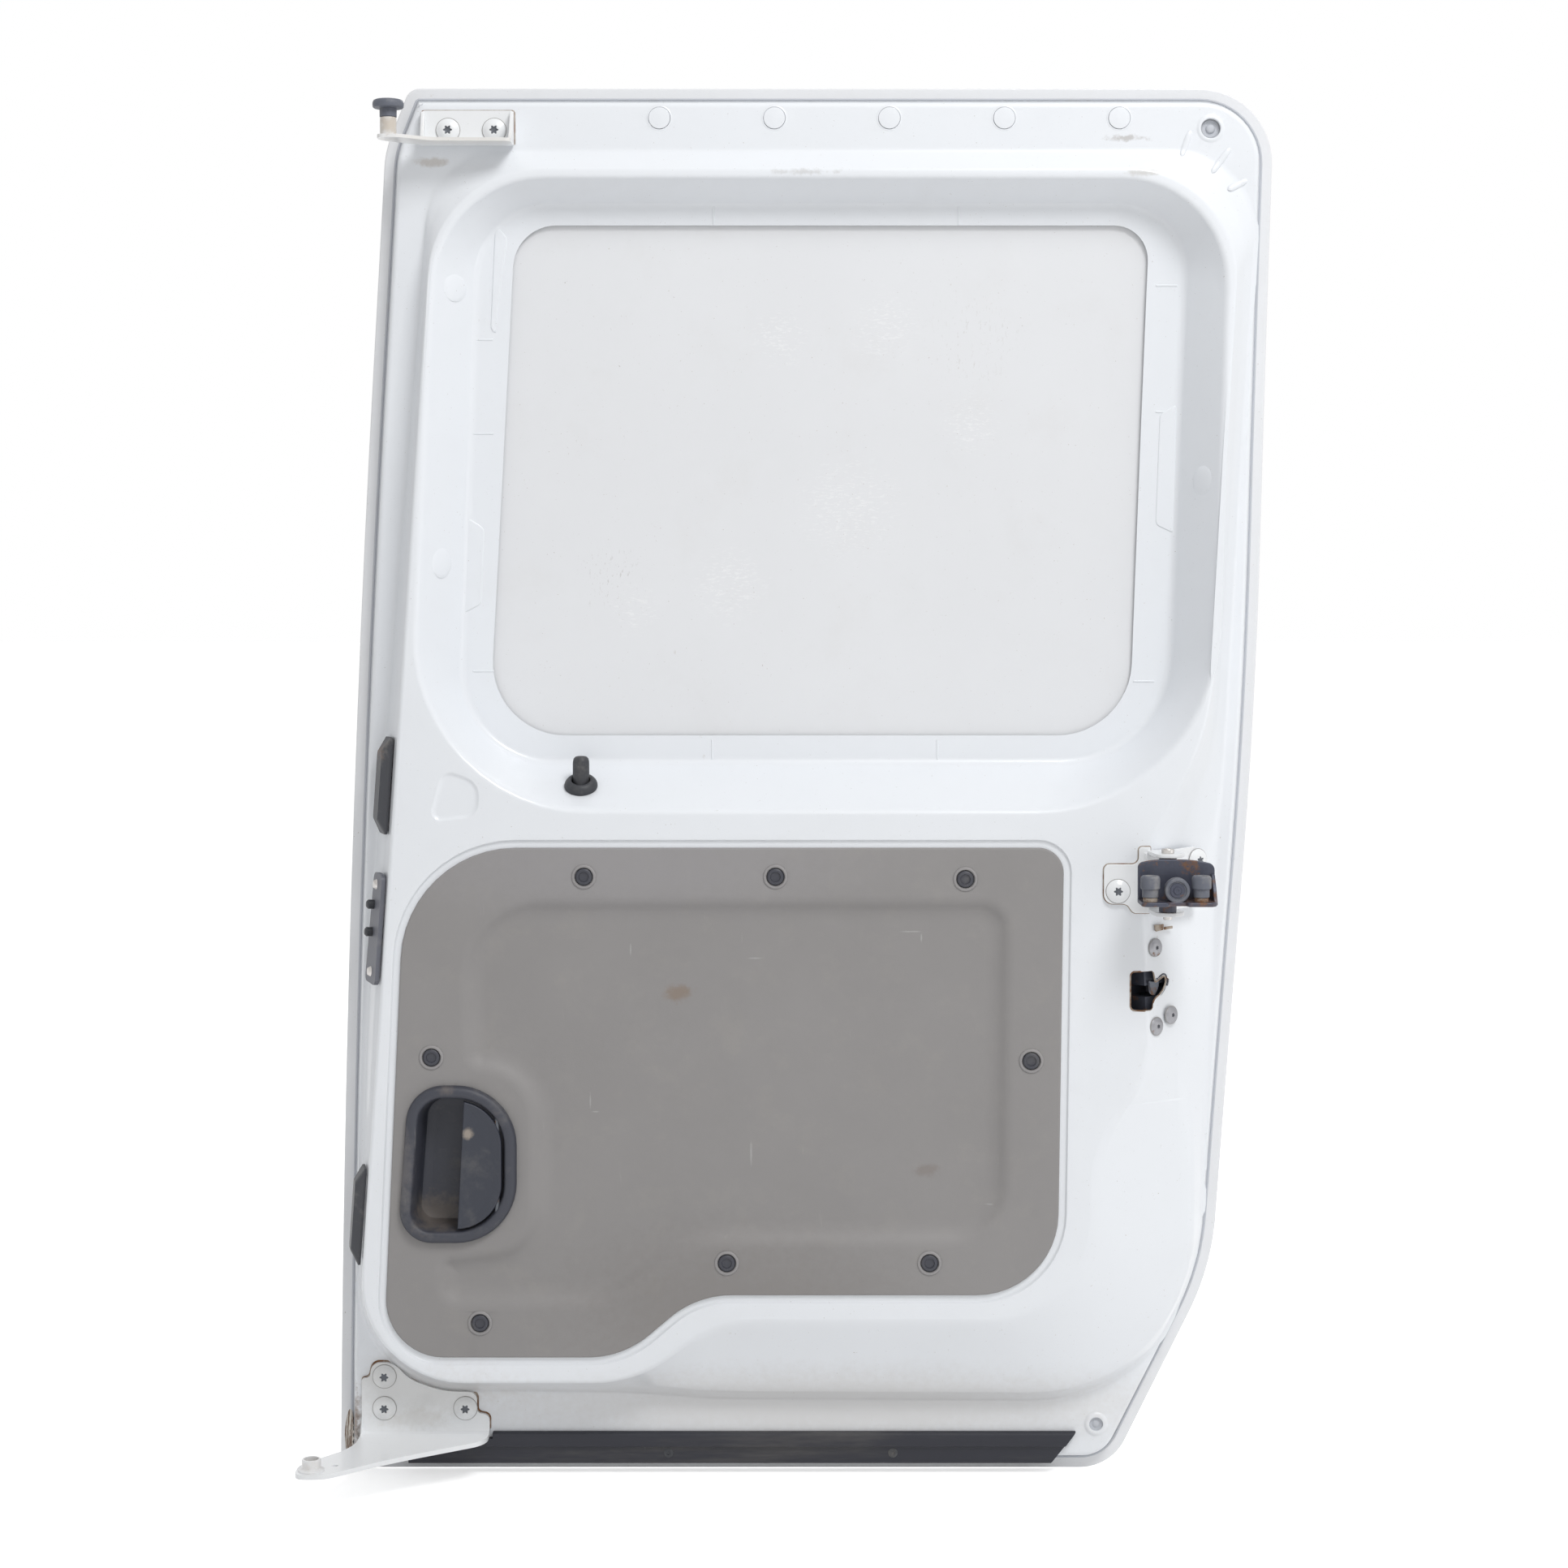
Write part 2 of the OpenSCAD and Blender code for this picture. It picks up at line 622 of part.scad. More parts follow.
module handle_bezel() {
    color(handle_grey) in_frame() difference() {
        union() {
            loft([at(ring(bezel), function (y) trim_face),
                at(ring(bezel, 1), function (y) bezel_top - 3),
                at(ring(bezel, 4), function (y) bezel_top)]);
            loft([at(ring(bezel, bezel_frame + 2), function (y) cup_floor - 2),
                at(ring(bezel, bezel_frame - 3), function (y) trim_face + eps)]);
        }
        loft([at(ring(opening, 3), function (y) cup_floor),
            at(ring(opening, 1), function (y) trim_face - 4),
            at(ring(opening), function (y) trim_face),
            at(ring(opening, -1), function (y) bezel_top + 1)]);
        up_door(lever_x, bezel_low + (bezel_h - lever_pin_len) / 2, lever_z)
            cylinder(h = lever_pin_len, d = lever_pin_d);
    }
}

module lever_pin() {
    color(zinc) in_frame() up_door(lever_x, bezel_low + (bezel_h - lever_pin_len) / 2, lever_z)
        cylinder(h = lever_pin_len, d = lever_pin_d);
}

module handle_lever() {
    color(handle_grey) in_frame() difference() {
        union() {
            intersection() {
                plate(ring(opening, lever_gap), bezel_top - 1 - lever_t, bezel_top - 1);
                plate([[lever_edge - 2, bezel_low], [lever_x + 30, bezel_low],
                    [lever_x + 30, bezel_low + bezel_h], [lever_edge + 5, bezel_low + bezel_h]],
                    0, 200);
            }
            up_door(lever_x, bezel_low + bezel_h / 2 - knuckle_len / 2, lever_z)
                cylinder(h = knuckle_len, d = knuckle_d);
        }
        up_door(lever_x, bezel_low - 5, lever_z)
            cylinder(h = bezel_h + 10, d = lever_pin_d + 2 * run_gap);
    }
}

module lock_grommet() {
    color(seal_black) in_frame() difference() {
        translate([knob_x, knob_y, knob_z]) rotate([slope_tilt - 90, 0, 0]) {
            cylinder(h = 3, d = grommet_d);
            translate([0, 0, 3]) cylinder(h = 5, d1 = grommet_d, d2 = grommet_d - 7);
        }
        up_door(knob_x, knob_y - 40, knob_z) cylinder(h = 90, d = knob_d + 1);
    }
}

module lock_knob() {
    color(seal_black) in_frame() up_door(knob_x, knob_y, knob_z) rotate_extrude() polygon([
        [0, -knob_stem], [knob_d / 6, -knob_stem], [knob_d / 6, -knob_travel - 2],
        [knob_d / 2, -knob_travel - 2], [knob_d / 2, knob_h - 2], [knob_d / 2 - 1, knob_h - 0.6],
        [knob_d / 2 - 3, knob_h], [0, knob_h]]);
}

function arc(c, r, from, to) = [for (i = [0 : 6])
    let (a = mix(from, to, i / 6)) c - r * [sin(a), cos(a)]];

module lower_arm() {
    color(white_paint) in_frame() difference() {
        union() {
            plate(rounded([[arm_left, arm_bend.x, 0.5], [arm_right, arm_bend.x, 0.5],
                [arm_right, arm_y + 15, 5], [arm_right - 11, arm_y + 17, 3.5],
                [arm_right - 11, arm_y + 35, 7], [arm_right - 42, arm_y + 36, 12],
                [arm_right - 70, arm_y + 46, 9], [arm_left + 28, arm_y + 61, 8],
                [arm_left + 9, arm_y + 61, 7], [arm_left + 7, arm_y + 48, 3],
                [arm_left, arm_y + 47, 2]]), base_land, base_land + arm_t);
            translate([arm_left, 0, 0]) rotate([90, 0, 90]) linear_extrude(arm_right - arm_left)
                polygon(concat(arc(arm_bend, arm_bend_r, 0, 90),
                    arc(arm_bend, arm_bend_r - arm_t, 90, 0)));
            translate([0, arm_y, 0]) rotate([90, 0, 0]) linear_extrude(arm_t) polygon(rounded([
                [collar_x + 13, collar_z + 13, 9], [collar_x - 13, collar_z + 13, 9],
                [collar_x - 13, collar_z - 14, 9], [arm_left, base_land + 46, 20],
                [arm_left, arm_bend.y, 1], [arm_right, arm_bend.y, 1],
                [arm_right, base_land + 28, 14], [arm_right - 76, base_land + 78, 30]]));
        }
        for (p = arm_bolts) translate([p.x, p.y, 0]) cylinder(h = 80, d = bolt_d + 0.5);
        up_door(collar_x, arm_y - 20, collar_z) cylinder(h = 40, d = collar_bore);
        up_door(collar_x + 18, arm_y - 20, collar_z - 12) cylinder(h = 40, d = 5);
    }
}

module lower_collar() {
    color(white_paint) in_frame() up_door(collar_x, arm_y, collar_z) difference() {
        union() {
            cylinder(h = 1.5, d = collar_d + 6);
            translate([0, 0, 1.5]) cylinder(h = collar_h - 1.5, d = collar_d);
        }
        translate([0, 0, -5]) cylinder(h = collar_h + 10, d = collar_bore);
    }
}

module lower_arm_bolts() {
    color(white_paint) in_frame() for (p = arm_bolts)
        translate([p.x, p.y, base_land + arm_t]) button_bolt(arm_t + 8);
}

module upper_arm() {
    color(white_paint) in_frame() difference() {
        union() {
            translate([upper_x - upper_w, upper_y - upper_t, top_land])
                cube([upper_w, upper_h + upper_t, upper_t]);
            translate([upper_x - upper_t, upper_y, top_land]) cube([upper_t, upper_h, 22]);
            translate([upper_x - upper_w, upper_y, top_land]) cube([upper_t, upper_h, 14]);
            translate([0, upper_y, 0]) rotate([90, 0, 0]) linear_extrude(upper_t) polygon(rounded([
                [upper_x, top_land + 34, 5], [upper_x - 72, top_land + 36, 10],
                [upper_roller_x + 9, upper_roller_z + 9, 6], [upper_roller_x - 9, upper_roller_z + 9, 6],
                [upper_roller_x - 9, upper_roller_z - 8, 6], [upper_x - upper_w, top_land + 12, 6],
                [upper_x - upper_w, top_land, 1], [upper_x, top_land, 1]]));
        }
        for (p = upper_bolts) translate([p.x, p.y, 0]) cylinder(h = 90, d = bolt_d + 0.5);
        up_door(upper_roller_x, upper_y - 20, upper_roller_z) cylinder(h = 40, d = 8);
    }
}

module upper_arm_bolts() {
    color(white_paint) in_frame() for (p = upper_bolts)
        translate([p.x, p.y, top_land + upper_t]) button_bolt(upper_t + 8);
}

module upper_roller_pin() {
    color(zinc) in_frame() up_door(upper_roller_x, upper_y, upper_roller_z) {
        translate([0, 0, -upper_t]) cylinder(h = upper_t, d = 8);
        cylinder(h = boss_h, d = 14);
        translate([0, 0, boss_h]) cylinder(h = hub_h + upper_roller_h - 2, d = 8);
    }
}

module upper_roller() {
    color(rubber_grey) in_frame() up_door(upper_roller_x, upper_y + boss_h + 0.3, upper_roller_z)
        difference() {
            union() {
                cylinder(h = hub_h + 1, d = 14.5);
                translate([0, 0, hub_h]) rotate_extrude() polygon(rounded([[0, 0, 0.1],
                    [upper_roller_d / 2 - 1, 0, 1], [upper_roller_d / 2, upper_roller_h * 0.6, 2],
                    [upper_roller_d / 2 - 3, upper_roller_h, 2], [0, upper_roller_h, 0.1]]));
            }
            translate([0, 0, -1]) cylinder(h = hub_h + upper_roller_h - 1, d = 8 + 2 * run_gap);
        }
}

module bracket_bolt_places() {
    translate([bracket_x, bracket_y, face_depth]) children();
    rear_wall(bracket_y + 23, 0.32) translate([0, 0, bracket_lift]) children();
}

module rear_bracket() {
    color(white_paint) in_frame() difference() {
        union() {
            plate(rounded([[bracket_x + 13, ear_low - 4, 3], [bracket_x + 28, ear_low - 4, 1],
                [bracket_x + 28, ear_top + 3, 1], [bracket_x + 18, ear_top + 3, 3],
                [bracket_x + 18, ear_top - 12, 6], [bracket_x - 12, ear_top - 12, 5],
                [bracket_x - 12, bracket_y - 11, 8], [bracket_x + 8, bracket_y - 11, 4]]),
                face_depth, face_depth + bracket_t);
            rear_wall(bracket_y + 10, 1) translate([-29, -60, bracket_lift])
                cube([52, 60, bracket_t]);
            for (y = [ear_top, ear_low]) translate([0, y, 0]) rotate([90, 0, 0])
                linear_extrude(bracket_t) polygon(rounded([[bracket_x + 25, face_depth + 1, 1],
                    [bracket_x + 46, face_depth - 14, 1], [pivot_x + 16, pivot_z - 4, 6],
                    [pivot_x + 6, pivot_z + 10, 5], [pivot_x - 10, pivot_z + 8, 5]]));
        }
        up_door(pivot_x, ear_low - 30, pivot_z) cylinder(h = 120, d = pivot_d);
        bracket_bolt_places() translate([0, 0, -20]) cylinder(h = 60, d = bolt_d + 0.5);
    }
}

module rear_bracket_bolts() {
    color(white_paint) in_frame() bracket_bolt_places() translate([0, 0, bracket_t])
        button_bolt(bracket_t + 8);
}

module carriage_pin() {
    color(zinc) in_frame() up_door(pivot_x, ear_low - bracket_t - 3, pivot_z) {
        cylinder(h = ear_top - ear_low + bracket_t + 3, d = pivot_d);
        translate([0, 0, ear_top - ear_low + bracket_t + 3]) cylinder(h = 4, d = 11);
    }
}

module carriage_arm() {
    color(carriage_black) in_frame() difference() {
        union() {
            up_door(pivot_x, ear_low + 0.4, pivot_z)
                cylinder(h = ear_top - ear_low - bracket_t - 0.8, d = pivot_d + 7);
            translate([pivot_x - 27, tray_y, back_z - 2]) cube([65, 37, 4]);
            translate([pivot_x - 6, tray_y, pivot_z]) cube([12, 34, 12]);
            translate([0, tray_y + 3.5, 0]) rotate([90, 0, 0]) linear_extrude(3.5) polygon(rounded([
                [pivot_x - 27, back_z - 2, 1], [pivot_x + 38, back_z - 2, 1],
                [pivot_x + 36, roller_z + 10, 6], [pivot_x - 27, roller_z + 10, 6]]));
        }
        up_door(pivot_x, ear_low - 10, pivot_z)
            cylinder(h = 90, d = pivot_d + 2 * run_gap);
        translate([load_x, load_y, back_z - 20]) cylinder(h = 40, d = roller_pin_d);
        translate([load_x, load_y, roller_z - 6]) cylinder(h = 40, d = load_d + 4);
        for (x = [guide_front_x, guide_rear_x]) up_door(x, tray_y - 5, roller_z)
            cylinder(h = 20, d = roller_pin_d);
    }
}

module load_roller_pin() {
    color(zinc) in_frame() translate([load_x, load_y, back_z - 2])
        cylinder(h = roller_z + 6 - back_z, d = roller_pin_d);
}

module load_roller() {
    color(rubber_grey) in_frame() translate([load_x, load_y, roller_z - 4]) difference() {
        rotate_extrude() polygon(rounded([[0, 0, 0.1], [load_d / 2, 0, 1], [load_d / 2, load_w, 2],
            [load_d / 2 - 3, load_w, 0.8], [load_d / 2 - 4, load_w - 1.5, 0.8],
            [0, load_w - 1.5, 0.1]]));
        translate([0, 0, -1]) cylinder(h = load_w + 2, d = roller_pin_d + 2 * run_gap);
    }
}

module guide_pin(x) {
    color(zinc) in_frame() up_door(x, tray_y, roller_z) {
        cylinder(h = guide_low - tray_y + 10, d = roller_pin_d);
        translate([0, 0, 3.5]) cylinder(h = guide_low - tray_y - 3.5, d = 12);
    }
}

module guide_roller(x) {
    color(rubber_grey) in_frame() up_door(x, guide_low + 0.3, roller_z) difference() {
        union() {
            cylinder(h = 8, d = guide_d - 3);
            translate([0, 0, 7]) cylinder(h = guide_h, d = guide_d);
        }
        translate([0, 0, -1]) cylinder(h = 12, d = roller_pin_d + 2 * run_gap);
    }
}

module guide_pin_front() {
    guide_pin(guide_front_x);
}

module guide_roller_front() {
    guide_roller(guide_front_x);
}

module guide_pin_rear() {
    guide_pin(guide_rear_x);
}

module guide_roller_rear() {
    guide_roller(guide_rear_x);
}

module latch_body() {
    color(zinc) in_frame() difference() {
        rear_wall(latch_y, 1) translate([-latch_h / 2 - 12, -latch_reach - 6, -latch_sink - 26])
            cube([latch_h + 24, latch_reach + 2, 26]);
        rear_wall(latch_y, 1) translate([-striker_w / 2, -latch_reach - 10, -latch_sink - 20])
            cube([striker_w, latch_reach + 8, 40]);
    }
}

module latch_screw_places() {
    rear_wall(latch_y + 38, 0.85) children();
    rear_wall(latch_y - 30, 0.87) children();
    rear_wall(latch_y - 22, 0.63) children();
}

module latch_screws() {
    color(zinc) in_frame() latch_screw_places() translate([0, 0, seat_gap])
        cylinder(h = 3, d1 = 15, d2 = 11);
}

module wedge_block(y) {
    foot_corners = [[-wedge_len / 2, -13, 4], [wedge_len / 2, -13, 4], [wedge_len / 2, 13, 4],
        [-wedge_len / 2, 13, 4]];
    top_corners = [[-wedge_len / 2 + 12, -9, 4], [wedge_len / 2 - 12, -9, 4],
        [wedge_len / 2 - 12, 9, 4], [-wedge_len / 2 + 12, 9, 4]];
    front_wall(y, 0.5) translate([0, 0, wedge_seat]) loft([
        at(rounded(foot_corners), function (y) 0), at(rounded(foot_corners), function (y) 2),
        at(rounded(top_corners), function (y) wedge_h)]);
}

module upper_wedge() {
    color(seal_black) in_frame() wedge_block(9);
}

module lower_wedge() {
    color(seal_black) in_frame() wedge_block(-365);
}

module plunger_places(s) {
    front_wall(contact_y, 0.52) translate([12 * s + 8, -4, contact_t + seat_gap]) children();
}

module contact_plate() {
    color(trim_grey) in_frame() difference() {
        front_wall(contact_y, 0.52) translate([0, 0, seat_gap]) linear_extrude(contact_t)
            polygon(rounded([[-contact_len / 2, -contact_w / 2, 6],
                [contact_len / 2, -contact_w / 2 + 8, 6], [contact_len / 2, contact_w / 2, 6],
                [-contact_len / 2, contact_w / 2, 6]]));
        for (s = [-1, 1]) plunger_places(s) translate([0, 0, -20]) cylinder(h = 40,
            d = plunger_d + 2 * run_gap);
    }
}

module contact_screws() {
    color(zinc) in_frame() for (s = [-1, 1]) front_wall(contact_y, 0.52)
        translate([s * (contact_len / 2 - 10), 0, contact_t + seat_gap])
            cylinder(h = 2.5, d1 = 9, d2 = 6);
}

module plunger(s) {
    color(seal_black) in_frame() plunger_places(s) {
        translate([0, 0, -contact_t]) cylinder(h = contact_t + plunger_travel + 1, d = plunger_d);
        translate([0, 0, plunger_travel + 1]) cylinder(h = 1.5, d1 = plunger_d, d2 = plunger_d - 3);
    }
}

module contact_plunger_upper() {
    plunger(1);
}

module contact_plunger_lower() {
    plunger(-1);
}

module top_plugs() {
    color(white_paint) in_frame() for (i = [0 : 4])
        translate([plug_x(i), plug_y, top_land + 0.8]) {
            cylinder(h = 1, d = plug_d);
            translate([0, 0, -4]) cylinder(h = 4, d = plug_d - 4);
        }
}

module sill_seal() {
    seal_right = seal_left + seal_len;
    seal_top = seal_low + seal_h;
    color(seal_black) in_frame() difference() {
        intersection() {
            translate([seal_left, 0, 0]) rotate([90, 0, 90]) linear_extrude(seal_len)
                polygon(rounded([[seal_low, base_land - 9, 1], [seal_low + 5, base_land - 9, 1],
                    [seal_low + 5, base_land, 1], [seal_top, base_land, 1],
                    [seal_top, base_land + 7, 3], [seal_low + 17, base_land + 7, 1],
                    [seal_low + 16, base_land + 4, 1], [seal_low, base_land + 2, 3]]));
            plate([[seal_left - 1, seal_low - 5], [seal_right - 22, seal_low - 5],
                [seal_right, seal_top - 12], [seal_right, seal_top + 5],
                [seal_left - 1, seal_top + 5]], 0, 90);
        }
        translate([seal_left - 5, arm_y - arm_t - 1, 0])
            cube([arm_right + 3 - seal_left + 5, 20, 90]);
    }
}

outer_skin();
inner_panel();
outer_handle_cup();
outer_handle();
trim_panel();
trim_clips();
handle_bezel();
handle_lever();
lever_pin();
lock_grommet();
lock_knob();
lower_arm();
lower_collar();
lower_arm_bolts();
upper_arm();
upper_arm_bolts();
upper_roller_pin();
upper_roller();
rear_bracket();
rear_bracket_bolts();
carriage_pin();
carriage_arm();
load_roller_pin();
load_roller();
guide_pin_front();
guide_roller_front();
guide_pin_rear();
guide_roller_rear();
latch_body();
latch_screws();
upper_wedge();
lower_wedge();
contact_plate();
contact_screws();
contact_plunger_upper();
contact_plunger_lower();
top_plugs();
sill_seal();
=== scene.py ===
import math

import bmesh
import bpy
import numpy as np
from mathutils import Matrix, Vector
from mathutils.geometry import delaunay_2d_cdt


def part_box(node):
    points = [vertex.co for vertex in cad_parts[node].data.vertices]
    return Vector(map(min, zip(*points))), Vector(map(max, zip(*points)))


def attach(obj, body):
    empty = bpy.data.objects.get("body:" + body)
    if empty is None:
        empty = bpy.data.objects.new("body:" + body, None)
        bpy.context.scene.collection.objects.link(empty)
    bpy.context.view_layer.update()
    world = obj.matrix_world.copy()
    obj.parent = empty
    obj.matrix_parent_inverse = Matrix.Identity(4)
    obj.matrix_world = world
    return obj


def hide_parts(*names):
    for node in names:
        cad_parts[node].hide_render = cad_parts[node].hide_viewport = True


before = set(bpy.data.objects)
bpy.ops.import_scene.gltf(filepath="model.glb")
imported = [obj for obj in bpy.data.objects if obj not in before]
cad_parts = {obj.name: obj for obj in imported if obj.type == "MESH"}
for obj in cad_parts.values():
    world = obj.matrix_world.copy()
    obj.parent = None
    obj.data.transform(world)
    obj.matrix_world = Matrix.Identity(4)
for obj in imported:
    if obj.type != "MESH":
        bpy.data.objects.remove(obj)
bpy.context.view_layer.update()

# The pieces are drawn on a bench, in millimetres: x runs to the rear of the van, y up the door
# from the waist, and the third number is the height over the outer skin, towards the cabin.
front, rear, foot, topEdge = -409.5, 409.5, -597, 615
skinLow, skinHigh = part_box("outer_skin")
toFrame = Matrix((
    (0.001, 0, 0, skinLow.x - front / 1000),
    (0, 0, -0.001, skinHigh.y),
    (0, 0.001, 0, skinHigh.z - topEdge / 1000),
    (0, 0, 0, 1)))


# Outlines: a corner is (x, y, reach), and reach is how far its rounding runs along both sides
def leftOf(v):
    return Vector((-v.y, v.x))


def cornerAt(corners, i):
    # the corner, the runs into it and out of it, and the turn between them
    here = Vector(corners[i][:2])
    before = (here - Vector(corners[i - 1][:2])).normalized()
    after = (Vector(corners[(i + 1) % len(corners)][:2]) - here).normalized()
    turn = math.atan2(before.x * after.y - before.y * after.x, before.dot(after))
    return here, before, after, turn


def inset(corners, distance):
    shifted = []
    for i, corner in enumerate(corners):
        here, before, after, turn = cornerAt(corners, i)
        p = here + (leftOf(before) + leftOf(after)) * distance / (1 + before.dot(after))
        shifted.append((p.x, p.y, max(0.3, corner[2] - distance * math.tan(turn / 2))))
    return shifted


def rounded(corners, steps=12, straights=8):
    arcs = []
    for i, corner in enumerate(corners):
        here, before, after, turn = cornerAt(corners, i)
        into, outOf = before * corner[2], after * corner[2]
        bow = 4 / 3 * math.tan(turn / 4) / math.tan(turn / 2) if abs(turn) > 0.02 else 2 / 3
        a, b, c, d = here - into, here - into * (1 - bow), here + outOf * (1 - bow), here + outOf
        arcs.append([a * (1 - t) ** 3 + b * 3 * t * (1 - t) ** 2
                     + c * 3 * t * t * (1 - t) + d * t ** 3
                     for t in (k / steps for k in range(steps + 1))])
    points = []
    for arc, following in zip(arcs, arcs[1:] + arcs[:1]):
        points += arc + [arc[-1].lerp(following[0], k / straights) for k in range(1, straights)]
    return points


def ring(corners, distance=0, steps=12, straights=8):
    return rounded(inset(corners, distance), steps, straights)


def rings(corners, run, level=0, steps=12, straights=8):
    # one outline again and again, stepped in by each distance and set at each height
    base = level if callable(level) else lambda y: level
    return [lift(ring(corners, d, steps, straights), lambda y: base(y) + h) for d, h in run]


def block(left, low, right, top, reach, topReach=None):
    # the corners of a rectangle
    above = reach if topReach is None else topReach
    return [(left, low, reach), (right, low, reach), (right, top, above), (left, top, above)]


def circle(x, y, radius, steps=40):
    return [Vector((x + radius * math.cos(a), y + radius * math.sin(a)))
            for a in (math.tau * k / steps for k in range(steps))]


def lift(points, level):
    return [Vector((p.x, p.y, level(p.y) if callable(level) else level)) for p in points]


def between(a, b, t):
    return [p.lerp(q, t) for p, q in zip(a, b)]


def fillet(a, b, c, steps=4):
    # rings of a rounded edge from ring a past the sharp ring b to ring c
    return [[p * (1 - t) ** 2 + q * 2 * t * (1 - t) + r * t * t for p, q, r in zip(a, b, c)]
            for t in (k / steps for k in range(steps + 1))]


def flatArray(points):
    return np.array([(p[0], p[1]) for p in points])


def gapTo(points, others):
    # distance from each point to the nearest of the others
    a, b = flatArray(points), flatArray(others)
    return np.sqrt(((a[:, None] - b[None]) ** 2).sum(2).min(1))


def pushed(points, amounts):
    # each point moved to the left of the line's run, so into a counter-clockwise ring
    out = []
    for i, (p, amount) in enumerate(zip(points, np.broadcast_to(amounts, len(points)))):
        run = (points[(i + 1) % len(points)] - points[i - 1]).to_2d().normalized()
        out.append(Vector(p[:2]) + leftOf(run) * float(amount))
    return out


def insideLoops(points, loops):
    # odd and even test of many points against closed outlines
    p = flatArray(points)
    inside = np.zeros(len(p), bool)
    for loop in loops:
        q = flatArray(loop)
        for a, b in zip(q, np.roll(q, -1, 0)):
            if a[1] == b[1]:
                continue
            level = (a[1] > p[:, 1]) != (b[1] > p[:, 1])
            crossing = (b[0] - a[0]) * (p[:, 1] - a[1]) / (b[1] - a[1]) + a[0]
            inside ^= level & (p[:, 0] < crossing)
    return inside


def keptInside(points, limit):
    # points outside a closed line come back onto it
    p, a = flatArray(points), flatArray(limit)
    run = np.roll(a, -1, 0) - a
    along = ((p[:, None] - a) * run).sum(2) / (run ** 2).sum(1)
    near = a + run * np.clip(along, 0, 1)[:, :, None]
    best = ((p[:, None] - near) ** 2).sum(2).argmin(1)
    return [Vector(q[:2]) if inside else Vector(near[i, best[i]])
            for i, (q, inside) in enumerate(zip(points, insideLoops(points, [limit])))]


def lineX(corners, i, j, y):
    # where the line between two corners is at y
    (ax, ay), (bx, by) = corners[i][:2], corners[j][:2]
    return ax + (bx - ax) * (y - ay) / (by - ay)


def moved(x, y, z):
    return Matrix.Translation((x, y, z))


def upDoor(x, y, z):
    # an axis that runs up the door
    return moved(x, y, z) @ Matrix.Rotation(math.radians(-90), 4, "X")


def downDoor(y):
    # a flat outline in (x, level) that is drawn out down the door from y
    return Matrix(((1, 0, 0, 0), (0, 0, -1, y), (0, 1, 0, 0), (0, 0, 0, 1)))


# a flat outline in (y, level) that is drawn out to the rear
sideways = Matrix(((0, 0, 1, 0), (1, 0, 0, 0), (0, 1, 0, 0), (0, 0, 0, 1)))


def link(thing):
    bpy.context.scene.collection.objects.link(thing)
    return thing


def softEdge(thing, width, segments, angle):
    # rounds off the edges that turn by more than the angle
    rim = thing.modifiers.new("edge", "BEVEL")
    rim.width = width / 1000
    rim.segments = segments
    rim.limit_method = "ANGLE"
    rim.angle_limit = math.radians(angle)


